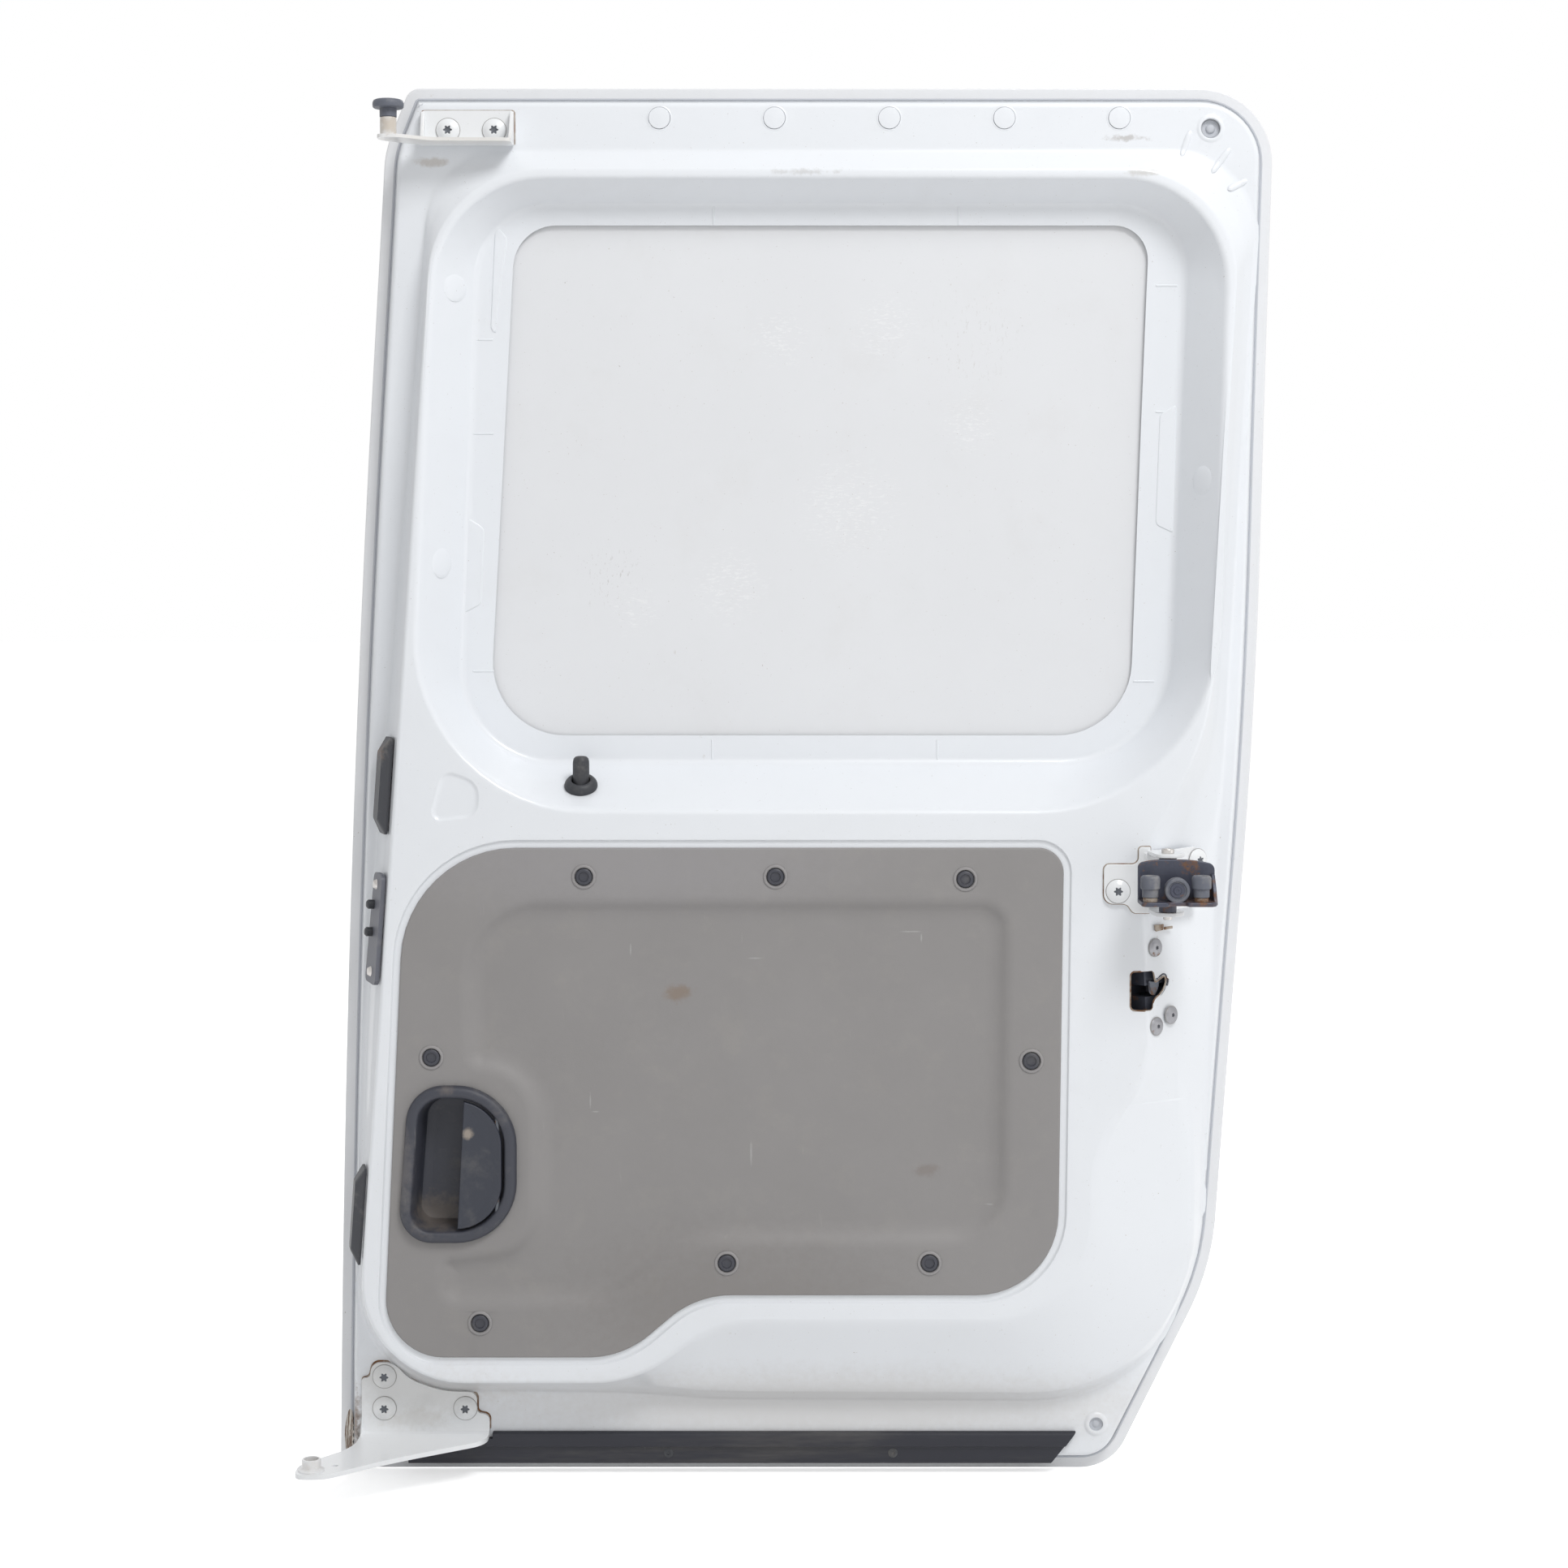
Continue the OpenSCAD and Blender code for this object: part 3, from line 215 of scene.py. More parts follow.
class Shape:
    # points and faces of one piece, on the bench
    def __init__(self, place=None):
        self.points = []
        self.faces = []
        self.place = place or Matrix.Identity(4)

    def loft(self, rings, start=False, end=False, closed=True):
        first, size = len(self.points), len(rings[0])
        for points in rings:
            self.points += [self.place @ Vector(p) for p in points]
        for j in range(len(rings) - 1):
            for i in range(size if closed else size - 1):
                a, b = first + j * size + i, first + j * size + (i + 1) % size
                self.faces.append((a, b, b + size, a + size))
        if start:
            self.faces.append(tuple(first + i for i in reversed(range(size))))
        if end:
            self.faces.append(tuple(first + (len(rings) - 1) * size + i for i in range(size)))
        return self

    def fill(self, loops, level, spacing=12):
        # a surface over flat loops: the first is the outside, the others are holes in it
        flats = [[Vector(p[:2]) for p in loop] for loop in loops]
        points, edges = [], []
        for loop in flats:
            first, size = len(points), len(loop)
            points += loop
            edges += [(first + i, first + (i + 1) % size) for i in range(size)]
        xs, ys = [p.x for p in flats[0]], [p.y for p in flats[0]]
        columns = int((max(xs) - min(xs)) / spacing) + 1
        lines = int((max(ys) - min(ys)) / spacing) + 1
        grid = [Vector((min(xs) + (i + 0.5 * (j % 2)) * spacing, min(ys) + j * spacing))
                for j in range(lines + 1) for i in range(columns + 1)]
        clear = insideLoops(grid, flats) & (gapTo(grid, points) > spacing * 0.55)
        points += [p for p, keep in zip(grid, clear) if keep]
        corners, _, faces = delaunay_2d_cdt(points, edges, [], 0, 1e-5)[:3]
        middles = [sum((corners[i] for i in f), Vector((0, 0))) / len(f) for f in faces]
        first = len(self.points)
        self.points += [self.place @ p for p in lift(corners, level)]
        for f, keep in zip(faces, insideLoops(middles, flats)):
            if keep:
                a, b, c = (corners[i] for i in f[:3])
                turn = (b - a).x * (c - a).y - (b - a).y * (c - a).x
                self.faces.append(tuple(first + i for i in (f if turn > 0 else reversed(f))))
        return self

    def prism(self, corners, low, high, edge=0.6):
        # a plate or block with its lower and upper edges rounded off
        turns = ((1, low, 0), (0.3, low, 0.3), (0, low, 1),
                 (0, high, -1), (0.3, high, -0.3), (1, high, 0))
        run = [(d * edge, level + h * edge) for d, level, h in turns]
        return self.loft(rings(corners, run, 0, 8, 3), True, True)

    def lathe(self, profile, steps=48, start=True, end=True):
        # a turned form about its own axis, from (radius, height) pairs
        return self.loft([[(r * math.cos(a), r * math.sin(a), h)
                           for a in (math.tau * k / steps for k in range(steps))]
                          for r, h in profile], start, end)

    def bend(self, start, radius, level):
        # a flat sheet turned up about the line y = start, so that it runs on towards the cabin
        quarter = math.pi / 2
        for p in self.points:
            past = start - p.y
            if past > 0:
                turn = min(quarter, past / radius)
                p.y = start - radius * math.sin(turn)
                p.z += radius * (1 - math.cos(turn)) + max(0, past - radius * quarter)
            p.z += level
        return self

    def turned(self):
        # the faces look the other way
        self.faces = [tuple(reversed(f)) for f in self.faces]
        return self

    def mesh(self, name):
        mesh = bpy.data.meshes.new(name)
        mesh.from_pydata([toFrame @ p for p in self.points], [], self.faces)
        work = bmesh.new()
        work.from_mesh(mesh)
        bmesh.ops.remove_doubles(work, verts=work.verts, dist=2e-6)
        bmesh.ops.dissolve_degenerate(work, dist=1e-6, edges=work.edges)
        work.to_mesh(mesh)
        work.free()
        return mesh

    def piece(self, name, body, slot, material, stands=(), sheet=0, grows=-1, edge=0, sharp=40,
              holes=()):
        # a sheet grows inward from its drawn face, or outward where grows is 1
        mesh = self.mesh(name)
        thing = link(bpy.data.objects.new(name, mesh))
        if sheet:
            solid = thing.modifiers.new("sheet", "SOLIDIFY")
            solid.thickness = sheet / 1000
            solid.offset = grows
        if holes:
            tools = [link(bpy.data.objects.new("tool", hole.mesh("tool"))) for hole in holes]
            for tool in tools:
                cut = thing.modifiers.new("cut", "BOOLEAN")
                cut.solver = "EXACT"
                cut.object = tool
            state = bpy.context.evaluated_depsgraph_get()
            mesh = bpy.data.meshes.new_from_object(thing.evaluated_get(state))
            mesh.name = name
            thing.modifiers.clear()
            thing.data = mesh
            for tool in tools:
                bpy.data.objects.remove(tool)
        mesh.materials.clear()
        mesh.materials.append(material)
        mesh.polygons.foreach_set("use_smooth", [True] * len(mesh.polygons))
        mesh.set_sharp_from_angle(angle=math.radians(sharp))
        if edge:
            softEdge(thing, edge, 2, 50)
        even = thing.modifiers.new("shading", "WEIGHTED_NORMAL")
        even.keep_sharp = True
        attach(thing, body)
        if stands:
            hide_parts(*stands)
        print("piece", name, len(mesh.polygons))


def joined(*shapes):
    whole = Shape()
    for s in shapes:
        first = len(whole.points)
        whole.points += s.points
        whole.faces += [tuple(first + i for i in f) for f in s.faces]
    return whole


def turnedAt(places, level, profile, steps=48, closed=True):
    # the same turned form at several places
    return joined(*(Shape(moved(x, y, level)).lathe(profile, steps, closed, closed)
                    for x, y in places))


# Materials: maths on sockets is written as it would be on paper
def sign(operation, swap=False):
    return lambda wire, other: wire.join(operation, other, swap)


class Wire:
    def __init__(self, build, socket):
        self.build = build
        self.socket = socket

    def join(self, operation, other, swap=False):
        a, b = (other, self) if swap else (self, other)
        return self.build.add("ShaderNodeMath", {"operation": operation}, {0: a, 1: b})

    __add__, __radd__ = sign("ADD"), sign("ADD", True)
    __sub__, __rsub__ = sign("SUBTRACT"), sign("SUBTRACT", True)
    __mul__, __rmul__ = sign("MULTIPLY"), sign("MULTIPLY", True)


class Nodes:
    # a tree of shader nodes
    def __init__(self, tree):
        self.tree = tree

    def put(self, socket, value):
        if isinstance(value, Wire):
            self.tree.links.new(value.socket, socket)
        elif isinstance(value, tuple) and len(value) == 3 and socket.type == "RGBA":
            socket.default_value = (*value, 1)
        else:
            socket.default_value = value

    def add(self, kind, settings=None, sockets=None, out=0):
        node = self.tree.nodes.new(kind)
        for key, value in (settings or {}).items():
            setattr(node, key, value)
        for key, value in (sockets or {}).items():
            self.put(node.inputs[key], value)
        return Wire(self, node.outputs[out])

    def vector(self, operation, a, b=None, out=0):
        sockets = {0: a} if b is None else {0: a, 1: b}
        return self.add("ShaderNodeVectorMath", {"operation": operation}, sockets, out)


class Finish(Nodes):
    # one procedural material
    def __init__(self, name):
        self.material = bpy.data.materials.new(name)
        self.material.use_nodes = True
        super().__init__(self.material.node_tree)
        self.shader = self.tree.nodes["Principled BSDF"]
        self.place = self.add("ShaderNodeTexCoord", out="Object")

    def noise(self, scale, detail=3, rough=0.5, stretch=None):
        place = self.vector("MULTIPLY", self.place, stretch) if stretch else self.place
        return self.add("ShaderNodeTexNoise", None, {
            "Vector": place, "Scale": scale, "Detail": detail, "Roughness": rough})

    def ease(self, value, low, high):
        return self.add("ShaderNodeMapRange", {"interpolation_type": "SMOOTHSTEP"},
                        {0: value, 1: low, 2: high, 3: 0.0, 4: 1.0})

    def blend(self, share, a, b):
        return self.add("ShaderNodeMix", {"data_type": "RGBA"}, {0: share, 6: a, 7: b}, out=2)

    def spot(self, x, y, level, radius, soft=0.5, wobble=0.0, squash=(1, 1, 1)):
        # a mask of 1 at a bench point that fades out by the radius, all in millimetres
        away = self.vector("SUBTRACT", self.place, toFrame @ Vector((x, y, level)))
        far = self.vector("LENGTH", self.vector("MULTIPLY", away, squash), out="Value")
        if wobble:
            far = far + (self.noise(140, 4, 0.65) - 0.5) * (wobble * radius / 1000)
        return self.ease(far, radius / 1000, radius * soft / 1000)

    def stained(self, colour, stains):
        # a stain is its spot, its tint and its share, and then the noise that breaks it up
        breaks = {}
        for spot, tint, share, *broken in stains:
            mask = self.spot(*spot)
            for key in broken:
                if key not in breaks:
                    scale, stretch, low, high = key
                    breaks[key] = self.ease(self.noise(scale, 3, 0.7, stretch), low, high)
                mask = mask * breaks[key]
            colour = self.blend(mask * share, colour, tint)
        return colour

    def done(self, colour, rough, metal=0.0, bump=None, depth=0.1, reach=0.001, coat=0.0):
        values = {"Base Color": colour, "Roughness": rough, "Metallic": metal, "Coat Weight": coat}
        if bump is not None:
            values["Normal"] = self.add("ShaderNodeBump", None, {
                "Strength": depth, "Distance": reach, "Height": bump}, out="Normal")
        for key, value in values.items():
            self.put(self.shader.inputs[key], value)
        return self.material


dust = {"film": (0.50, 0.47, 0.42), "speck": (0.33, 0.28, 0.23), "blot": (0.45, 0.40, 0.34),
        "scuff": (0.60, 0.58, 0.55), "scratch": (0.62, 0.60, 0.57)}
rust = {"dark": (0.10, 0.045, 0.022), "light": (0.30, 0.15, 0.07)}


def shade(colour, amount):
    return tuple(min(1, c * amount) for c in colour)


def paintFinish(name, base, dirt, stains=()):
    f = Finish(name)
    film = f.ease(f.noise(14, 6, 0.62), 0.50, 0.80)
    speck = f.ease(f.noise(520, 2, 0.7), 0.715, 0.76)
    blot = f.ease(f.noise(95, 3, 0.6), 0.735, 0.79)
    scuff = f.ease(f.noise(60, 4, 0.7, (0.25, 1, 3)), 0.70, 0.80)
    colour = f.blend(f.noise(6, 4, 0.55), shade(base, 1.015), shade(base, 0.955))
    colour = f.blend(film * dirt, colour, dust["film"])
    colour = f.blend(speck * 0.55, colour, dust["speck"])
    colour = f.blend(blot * (0.2 + dirt), colour, dust["blot"])
    colour = f.blend(scuff * (0.10 + dirt * 0.5), colour, dust["scuff"])
    peel = f.noise(330, 2) + f.noise(40, 2) * 2
    return f.done(f.stained(colour, stains), 0.30 + film * 0.18 + speck * 0.2,
                  bump=peel, depth=0.05, reach=0.0006, coat=0.4)


def plasticFinish(name, base, grain, dirt, rough, stains=(), stretch=None):
    f = Finish(name)
    film = f.ease(f.noise(30, 5, 0.65, stretch), 0.5, 0.75)
    scratch = f.ease(f.noise(120, 3, 0.6, (1, 1, 0.12)), 0.70, 0.78)
    colour = f.blend(f.noise(9, 4, 0.6, stretch), shade(base, 0.92), shade(base, 1.08))
    colour = f.blend(film * dirt, colour, dust["film"])
    colour = f.blend(scratch * (0.06 + dirt * 0.3), colour, dust["scratch"])
    return f.done(f.stained(colour, stains), rough + film * 0.15,
                  bump=f.noise(grain, 3, 0.6), depth=0.25, reach=0.0003)


def metalFinish(name, base, rusted, rough, metal, stains=()):
    f = Finish(name)
    bloom = f.ease(f.noise(85, 5, 0.7), 0.62 - rusted * 0.4, 0.72 - rusted * 0.2)
    tone = f.noise(300, 3)
    colour = f.blend(bloom, f.blend(tone, shade(base, 1.08), shade(base, 0.78)),
                     f.blend(tone, rust["dark"], rust["light"]))
    return f.done(f.stained(colour, stains), rough + bloom * 0.45,
                  metal - bloom * (metal * 0.85), bump=tone, depth=0.3, reach=0.0003)


print("stage: materials")
seamRust = [((-399, -553, 30, 24, 0.25, 1.4, (1.6, 2.4, 0.62)), (0.16, 0.09, 0.05), 0.9),
            ((-396, -560, 34, 12, 0.3, 1.6, (1, 2, 0.5)), (0.12, 0.11, 0.10), 0.8)]
streak = (190, (1, 1, 3), 0.54, 0.60)
fleck = (150, (3, 1, 1), 0.60, 0.66)
palePatches = [(71, 410, 40), (146, 324, 34), (-65, 184, 44), (40, 250, 60), (-150, 160, 30),
               (-20, 400, 34)]
skinPaint = paintFinish("skinPaint", (0.79, 0.80, 0.82), 0.08, [
    ((x, y, 10, radius, 0.2, 0.8), (0.88, 0.89, 0.90), 0.55, streak)
    for x, y, radius in palePatches] + [
    ((-169, 188, 10, 40, 0.2, 1), (0.40, 0.38, 0.36), 0.4, fleck),
    ((146, 400, 10, 60, 0.2, 1), (0.48, 0.46, 0.43), 0.25, fleck)] + seamRust)
innerPaint = paintFinish("innerPaint", (0.83, 0.855, 0.89), 0.04, seamRust + [
    ((-322, 549, 45, 12, 0.2, 1.6, (0.6, 1, 2.2)), (0.50, 0.45, 0.40), 0.6),
    ((279, 570, 47, 14, 0.1, 2.4, (0.6, 1, 4)), (0.30, 0.26, 0.22), 0.5),
    ((-2, 539, 60, 24, 0.1, 2.6, (0.6, 1, 7)), (0.42, 0.40, 0.38), 0.4),
    ((292, 538, 60, 12, 0.2, 1.8, (0.6, 1, 3)), (0.45, 0.42, 0.38), 0.5),
    ((-300, -508, 30, 60, 0.1, 0.8, (0.55, 1, 1.6)), (0.52, 0.46, 0.39), 0.35),
    ((20, -535, 30, 260, 0.2, 0.5, (0.6, 1, 5)), (0.60, 0.575, 0.545), 0.5)])
armPaint = paintFinish("armPaint", (0.86, 0.875, 0.89), 0.06, [
    ((-353, 574, 93, 15, 0.4, 1.0), (0.50, 0.42, 0.33), 0.8),
    ((-414, -556, 140, 14, 0.3, 1.0), (0.45, 0.36, 0.28), 0.3),
    # the next spot greys the flat plate of the lower arm: partly grime, partly painted shade that
    # keeps it darker than its bent shelf
    ((-330, -510, 36, 50, 0.35, 0.5, (0.45, 1, 1)), (0.61, 0.60, 0.58), 0.55),
    ((-345, -548, 38, 14, 0.2, 1.0, (0.3, 1, 1)), (0.55, 0.50, 0.43), 0.25),
    ((-300, 564, 86, 60, 0.2, 0.6, (0.5, 1.5, 1.5)), (0.66, 0.61, 0.54), 0.45)])
trimScratches = [(92, -116, 8, 0.7, 9), (101, -122, 6, 7, 1.2), (-185, -263, 8, 8, 0.9),
                 (-181, -272, 5, 1.1, 6), (-46, -309, 9, 6, 0.8), (-42, -139, 8, 0.8, 8),
                 (160, -352, 6, 1.2, 7), (-150, -131, 7, 7, 1)]
trimPlastic = plasticFinish("trimPlastic", (0.275, 0.265, 0.262), 1300, 0.10, 0.58, [
    ((x, y, 66, radius, 0.2, 1.2, (across, 1, up)), (0.45, 0.44, 0.44), 0.6)
    for x, y, radius, across, up in trimScratches] + [
    ((-109, -169, 66, 13, 0.2, 1.3, (0.75, 1, 1.3)), (0.235, 0.180, 0.140), 0.75),
    ((106, -323, 66, 11, 0.2, 1.5, (0.8, 1, 1.4)), (0.20, 0.165, 0.145), 0.45),
    ((-60, -440, 70, 150, 0.1, 0.7, (0.7, 1, 1.6)), (0.21, 0.195, 0.185), 0.5),
    ((-150, -60, 72, 170, 0.1, 0.5, (0.6, 1, 3)), (0.33, 0.32, 0.33), 0.5)])
bezelPlastic = plasticFinish("bezelPlastic", (0.042, 0.045, 0.060), 1500, 0.14, 0.5, [
    ((-318, -366, 47, 26, 0.2, 1.2, (0.7, 0.6, 1)), (0.16, 0.135, 0.115), 0.7),
    ((-346, -318, 78, 42, 0.1, 1.4, (3, 1, 1)), (0.17, 0.16, 0.16), 0.5),
    ((-307, -251, 79, 9, 0.1, 1.6, (0.8, 1, 1.4)), (0.20, 0.17, 0.15), 0.4)])
leverPlastic = plasticFinish("leverPlastic", (0.026, 0.030, 0.044), 1500, 0.10, 0.45, [
    ((-289, -289, 78, 6, 0.3, 1.2), (0.42, 0.36, 0.30), 0.7)])
blackPlastic = plasticFinish("blackPlastic", (0.032, 0.034, 0.040), 900, 0.22, 0.5)
wedgePlastic = plasticFinish("wedgePlastic", (0.045, 0.047, 0.055), 700, 0.3, 0.5, [
    ((-380, 44, 55, 20, 0.2, 1.4), (0.25, 0.14, 0.08), 0.8)])
capPlastic = plasticFinish("capPlastic", (0.040, 0.042, 0.055), 900, 0.15, 0.45)
contactPlastic = plasticFinish("contactPlastic", (0.13, 0.135, 0.16), 900, 0.3, 0.5)
rollerNylon = plasticFinish("rollerNylon", (0.115, 0.125, 0.155), 900, 0.35, 0.5)
sealer = plasticFinish("sealer", (0.52, 0.54, 0.58), 500, 0.25, 0.6)
sealRubber = plasticFinish("sealRubber", (0.015, 0.016, 0.024), 700, 0.12, 0.62, (),
                           (0.12, 1, 1))
# the grey of the painted shadow rings round the bolt heads
shadowRingGrey = plasticFinish("shadowRingGrey", (0.36, 0.35, 0.34), 500, 0.3, 0.6)
# a lighter copy of the trim plastic: a painted highlight on the rings round the clips
ringHighlightPlastic = plasticFinish("ringHighlightPlastic", (0.295, 0.285, 0.285), 1300, 0.10, 0.55)
carriageSteel = metalFinish("carriageSteel", (0.062, 0.068, 0.098), 0.26, 0.40, 0.2, [
    ((330, -87, 120, 26, 0.3, 1.2, (0.6, 1, 3)), (0.16, 0.075, 0.04), 0.7)])
zincSteel = metalFinish("zincSteel", (0.60, 0.58, 0.56), 0.16, 0.34, 0.9)
screwSteel = metalFinish("screwSteel", (0.34, 0.34, 0.36), 0.12, 0.42, 0.75)
rustedEdge = metalFinish("rustedEdge", (0.42, 0.36, 0.30), 0.55, 0.6, 0.2)
# dark metal of the latch case, also painted shade in the well behind the latch mouth
latchCaseAndShadeDark = metalFinish("latchCaseAndShadeDark", (0.075, 0.082, 0.105), 0.12, 0.42, 0.2)
# dark metal for the lever pin, and painted shade for the linings of the bolt recesses
darkPinAndRecessShade = metalFinish("darkPinAndRecessShade", (0.13, 0.14, 0.16), 0.1, 0.5, 0.3)
clawSteel = metalFinish("clawSteel", (0.12, 0.13, 0.155), 0.15, 0.4, 0.4)
torn = Finish("tornPaint")
strands = torn.ease(torn.noise(210, 4, 0.7, (2.2, 1, 0.22)), 0.42, 0.58)
tornPaint = torn.done(torn.blend(strands, (0.17, 0.11, 0.075), (0.70, 0.66, 0.60)), 0.6,
                      bump=strands, depth=0.6, reach=0.0008)

# Levels over the skin
panel = {"sheet": 1.2, "hem": 9, "bowMiddle": -105, "bow": 17000, "lip": 2.2,
         "land": 22, "landLow": -495, "landTop": 550,
         "face": 72, "faceFall": 12, "faceTop": 541, "flange": 5}


def crown(y):
    # the bow of the skin
    return (y - panel["bowMiddle"]) ** 2 / panel["bow"]


def land(y):
    return panel["land"] + crown(min(max(y, panel["landLow"]), panel["landTop"]))


def face(y):
    return panel["face"] - panel["faceFall"] * max(0, y) / panel["faceTop"]


def flangeTop(y):
    return crown(y) + panel["flange"]


def lip(y):
    return crown(y) + panel["lip"]


def wall(y, t):
    return face(y) * (1 - t) + land(y) * t


baseLand, topLand = land(panel["landLow"]), land(panel["landTop"])

edge = [(front, foot, 8), (rear - 138, foot, 27), (rear - 48, foot + 176, 45),
        (rear - 10, 68, 150), (rear, topEdge, 66), (front + 66, topEdge, 9),
        (front + 44, topEdge - 54, 14), (front, -95, 480)]

trimLeft, trimRight, trimLow = front + 66, front + 633, -484
rimLow, rimRight, rimStep = trimLow - 22, front + 658, trimLow + 31
footLine = [(front + 17, rimLow - 17, 92), (-150, rimLow - 20, 30), (-75, rimLow - 26, 25),
            (rear - 64, rimLow - 28, 148), (rear - 58, -300, 36), (rear - 55, -238, 22),
            (rear - 48, -57, 25), (rear - 41, 40, 40), (rear - 15, topEdge - 56, 75),
            (front + 86, topEdge - 56, 62), (front + 24, -165, 150)]
middleLine = [(front + 19, rimLow - 9, 93), (-149, rimLow - 11, 32), (-76, rimLow - 14, 28),
              (rear - 72, rimLow - 16, 140), (rear - 70, -299, 34), (rear - 82, -238, 26),
              (rear - 84, -56, 28), (rear - 50, 50, 45), (rear - 23, topEdge - 64, 86),
              (front + 89, topEdge - 64, 76), (front + 40, -80, 150)]
ridgeLine = [(front + 21, rimLow, 95), (-148, rimLow, 35), (-78, rimStep, 35),
             (rimRight, rimStep, 90), (rimRight, -298, 42), (rear - 111, -238, 36),
             (rear - 120, -55, 30), (rear - 60, 60, 50), (rear - 32, topEdge - 74, 98),
             (front + 91, topEdge - 74, 92), (front + 57, 10, 150)]
cutout = [(-278.5, 50, 68), (287.5, 50, 64), (301.5, 497, 31), (-252.5, 497, 36)]
flange = [(-306.5, 26, 85), (320.5, 26, 92), (334.5, 515, 60), (-283.5, 515, 64)]
recess = [(-340.5, -11, 156), (349.5, -11, 150), (367.5, 534, 94), (-317.5, 534, 92)]
trim = [(trimLeft - 20, trimLow, 52), (-157, trimLow, 30), (-93, trimLow + 54, 30),
        (trimRight - 5, trimLow + 54, 70), (trimRight, -43, 22), (trimLeft, -43, 95)]


def frontLine(corners):
    # the front wall's lines bend at a corner
    return lambda y: lineX(corners, 9, 10, y) if y > corners[10][1] else lineX(corners, 10, 0, y)


def rearLine(corners):
    return lambda y: lineX(corners, 5, 6, y)


def onWall(footAt, ridgeAt, side, y, t):
    # a wall's own axes: up the door, from the foot to the ridge, and out of the wall
    a, b = Vector((footAt(y), y, land(y))), Vector((ridgeAt(y), y, face(y)))
    up = Vector((ridgeAt(y + 40) - ridgeAt(y - 40), 80, face(y + 40) - face(y - 40))).normalized()
    out = up.cross((b - a).normalized()).normalized() * side
    over = out.cross(up) * side
    p = a.lerp(b, t)
    return Matrix((
        (up.x, over.x, out.x, p.x), (up.y, over.y, out.y, p.y),
        (up.z, over.z, out.z, p.z), (0, 0, 0, 1)))


def frontWall(y, t):
    return onWall(frontLine(footLine), frontLine(ridgeLine), -1, y, t)


def rearWall(y, t):
    return onWall(rearLine(footLine), rearLine(ridgeLine), 1, y, t)


print("stage: inner panel")
plugs = {"first": -125.5, "apart": 99.5, "count": 5, "below": 28}
plugPlaces = [(plugs["first"] + plugs["apart"] * i, topEdge - plugs["below"])
              for i in range(plugs["count"])]
accessHole, cornerHole = (rear - 58, topEdge - 37), (rear - 153, foot + 43)
teardrop = [(-325, -22, 13), (-280, -17, 13), (-279, 14, 13), (-312, 26, 12)]

hem = panel["hem"]
hemRing, wallRing = ring(edge, hem + 2), ring(edge, hem + 6)
footRing = keptInside(ring(footLine), ring(edge, hem + 7.2))
middleRing = keptInside(ring(middleLine), ring(edge, hem + 9))
ridgeRing = keptInside(ring(ridgeLine), ring(edge, hem + 11))
recessRing, flangeRing, cutRing = ring(recess), ring(flange), ring(cutout)


def rounding(a, b, most):
    # how far a line's rounding may run towards the next line
    return np.clip(gapTo(a, b) * 0.4, 0.05, most)


def panelLevel(x, y):
    here = [Vector((x, y))]
    if insideLoops(here, [ridgeRing])[0]:
        return face(y)
    if not insideLoops(here, [footRing])[0]:
        return land(y)
    up, down = float(gapTo(here, ridgeRing)[0]), float(gapTo(here, footRing)[0])
    return (face(y) * down + land(y) * up) / (up + down)


def onPanel(points, drop):
    return [Vector((p.x, p.y, panelLevel(p.x, p.y) - drop)) for p in points]


# from the hem up to the land
low, high = lift(hemRing, lip), lift(wallRing, land)
landIn = lift(pushed(wallRing, rounding(wallRing, footRing, 4)), land)
innerPanel = Shape().loft(
    [lift(ring(edge, 6), lip)]
    + fillet(lift(ring(edge, 9.2), lip), low, between(low, high, 0.12), 3)
    + fillet(between(high, low, 0.2), high, landIn, 5))

# the wall between the land and the face
footAt, middleAt, ridgeAt = (lift(points, lambda y: wall(y, t)) for points, t in (
    (footRing, 1), (middleRing, 0.6), (ridgeRing, 0)))
footOut = lift(pushed(footRing, -rounding(footRing, wallRing, 3.5)), land)
ledgeOut = ring(trim, -7.2)
ridgeRoom = np.minimum(gapTo(ridgeRing, recessRing), gapTo(ridgeRing, ledgeOut))
ridgeIn = lift(pushed(ridgeRing, np.clip(ridgeRoom * 0.4, 0.05, 3)), face)
innerPanel.loft(
    fillet(footOut, footAt, between(footAt, middleAt, 0.22), 5)
    + fillet(between(middleAt, footAt, 0.25), middleAt, between(middleAt, ridgeAt, 0.15), 3)
    + fillet(between(ridgeAt, middleAt, 0.1), ridgeAt, ridgeIn, 6))

# the window recess down to its flange
recessAt, flangeAt = lift(recessRing, face), lift(flangeRing, flangeTop)
recessOut = lift(pushed(recessRing, -rounding(recessRing, ridgeRing, 4)), face)
flangeIn, cutAt = lift(ring(flange, 5), flangeTop), lift(cutRing, flangeTop)
innerPanel.loft(
    fillet(recessOut, recessAt, between(recessAt, flangeAt, 0.09), 6)
    + [between(recessAt, flangeAt, t) for t in (0.35, 0.6)]
    + fillet(between(flangeAt, recessAt, 0.10), flangeAt, flangeIn, 5)
    + [between(flangeIn, cutAt, t) for t in (0.5, 1)])

landHoles, faceHoles = [], []


def dimple(holes, levelAt, loop, runs):
    # a pressed mark: rings step in by the run and up or down by the height
    holes.append(loop)
    rings = [lift(loop, levelAt)] + [
        lift(pushed(loop, run), lambda y: levelAt(y) + height) for run, height in runs]
    innerPanel.loft(rings)
    return rings[-1]


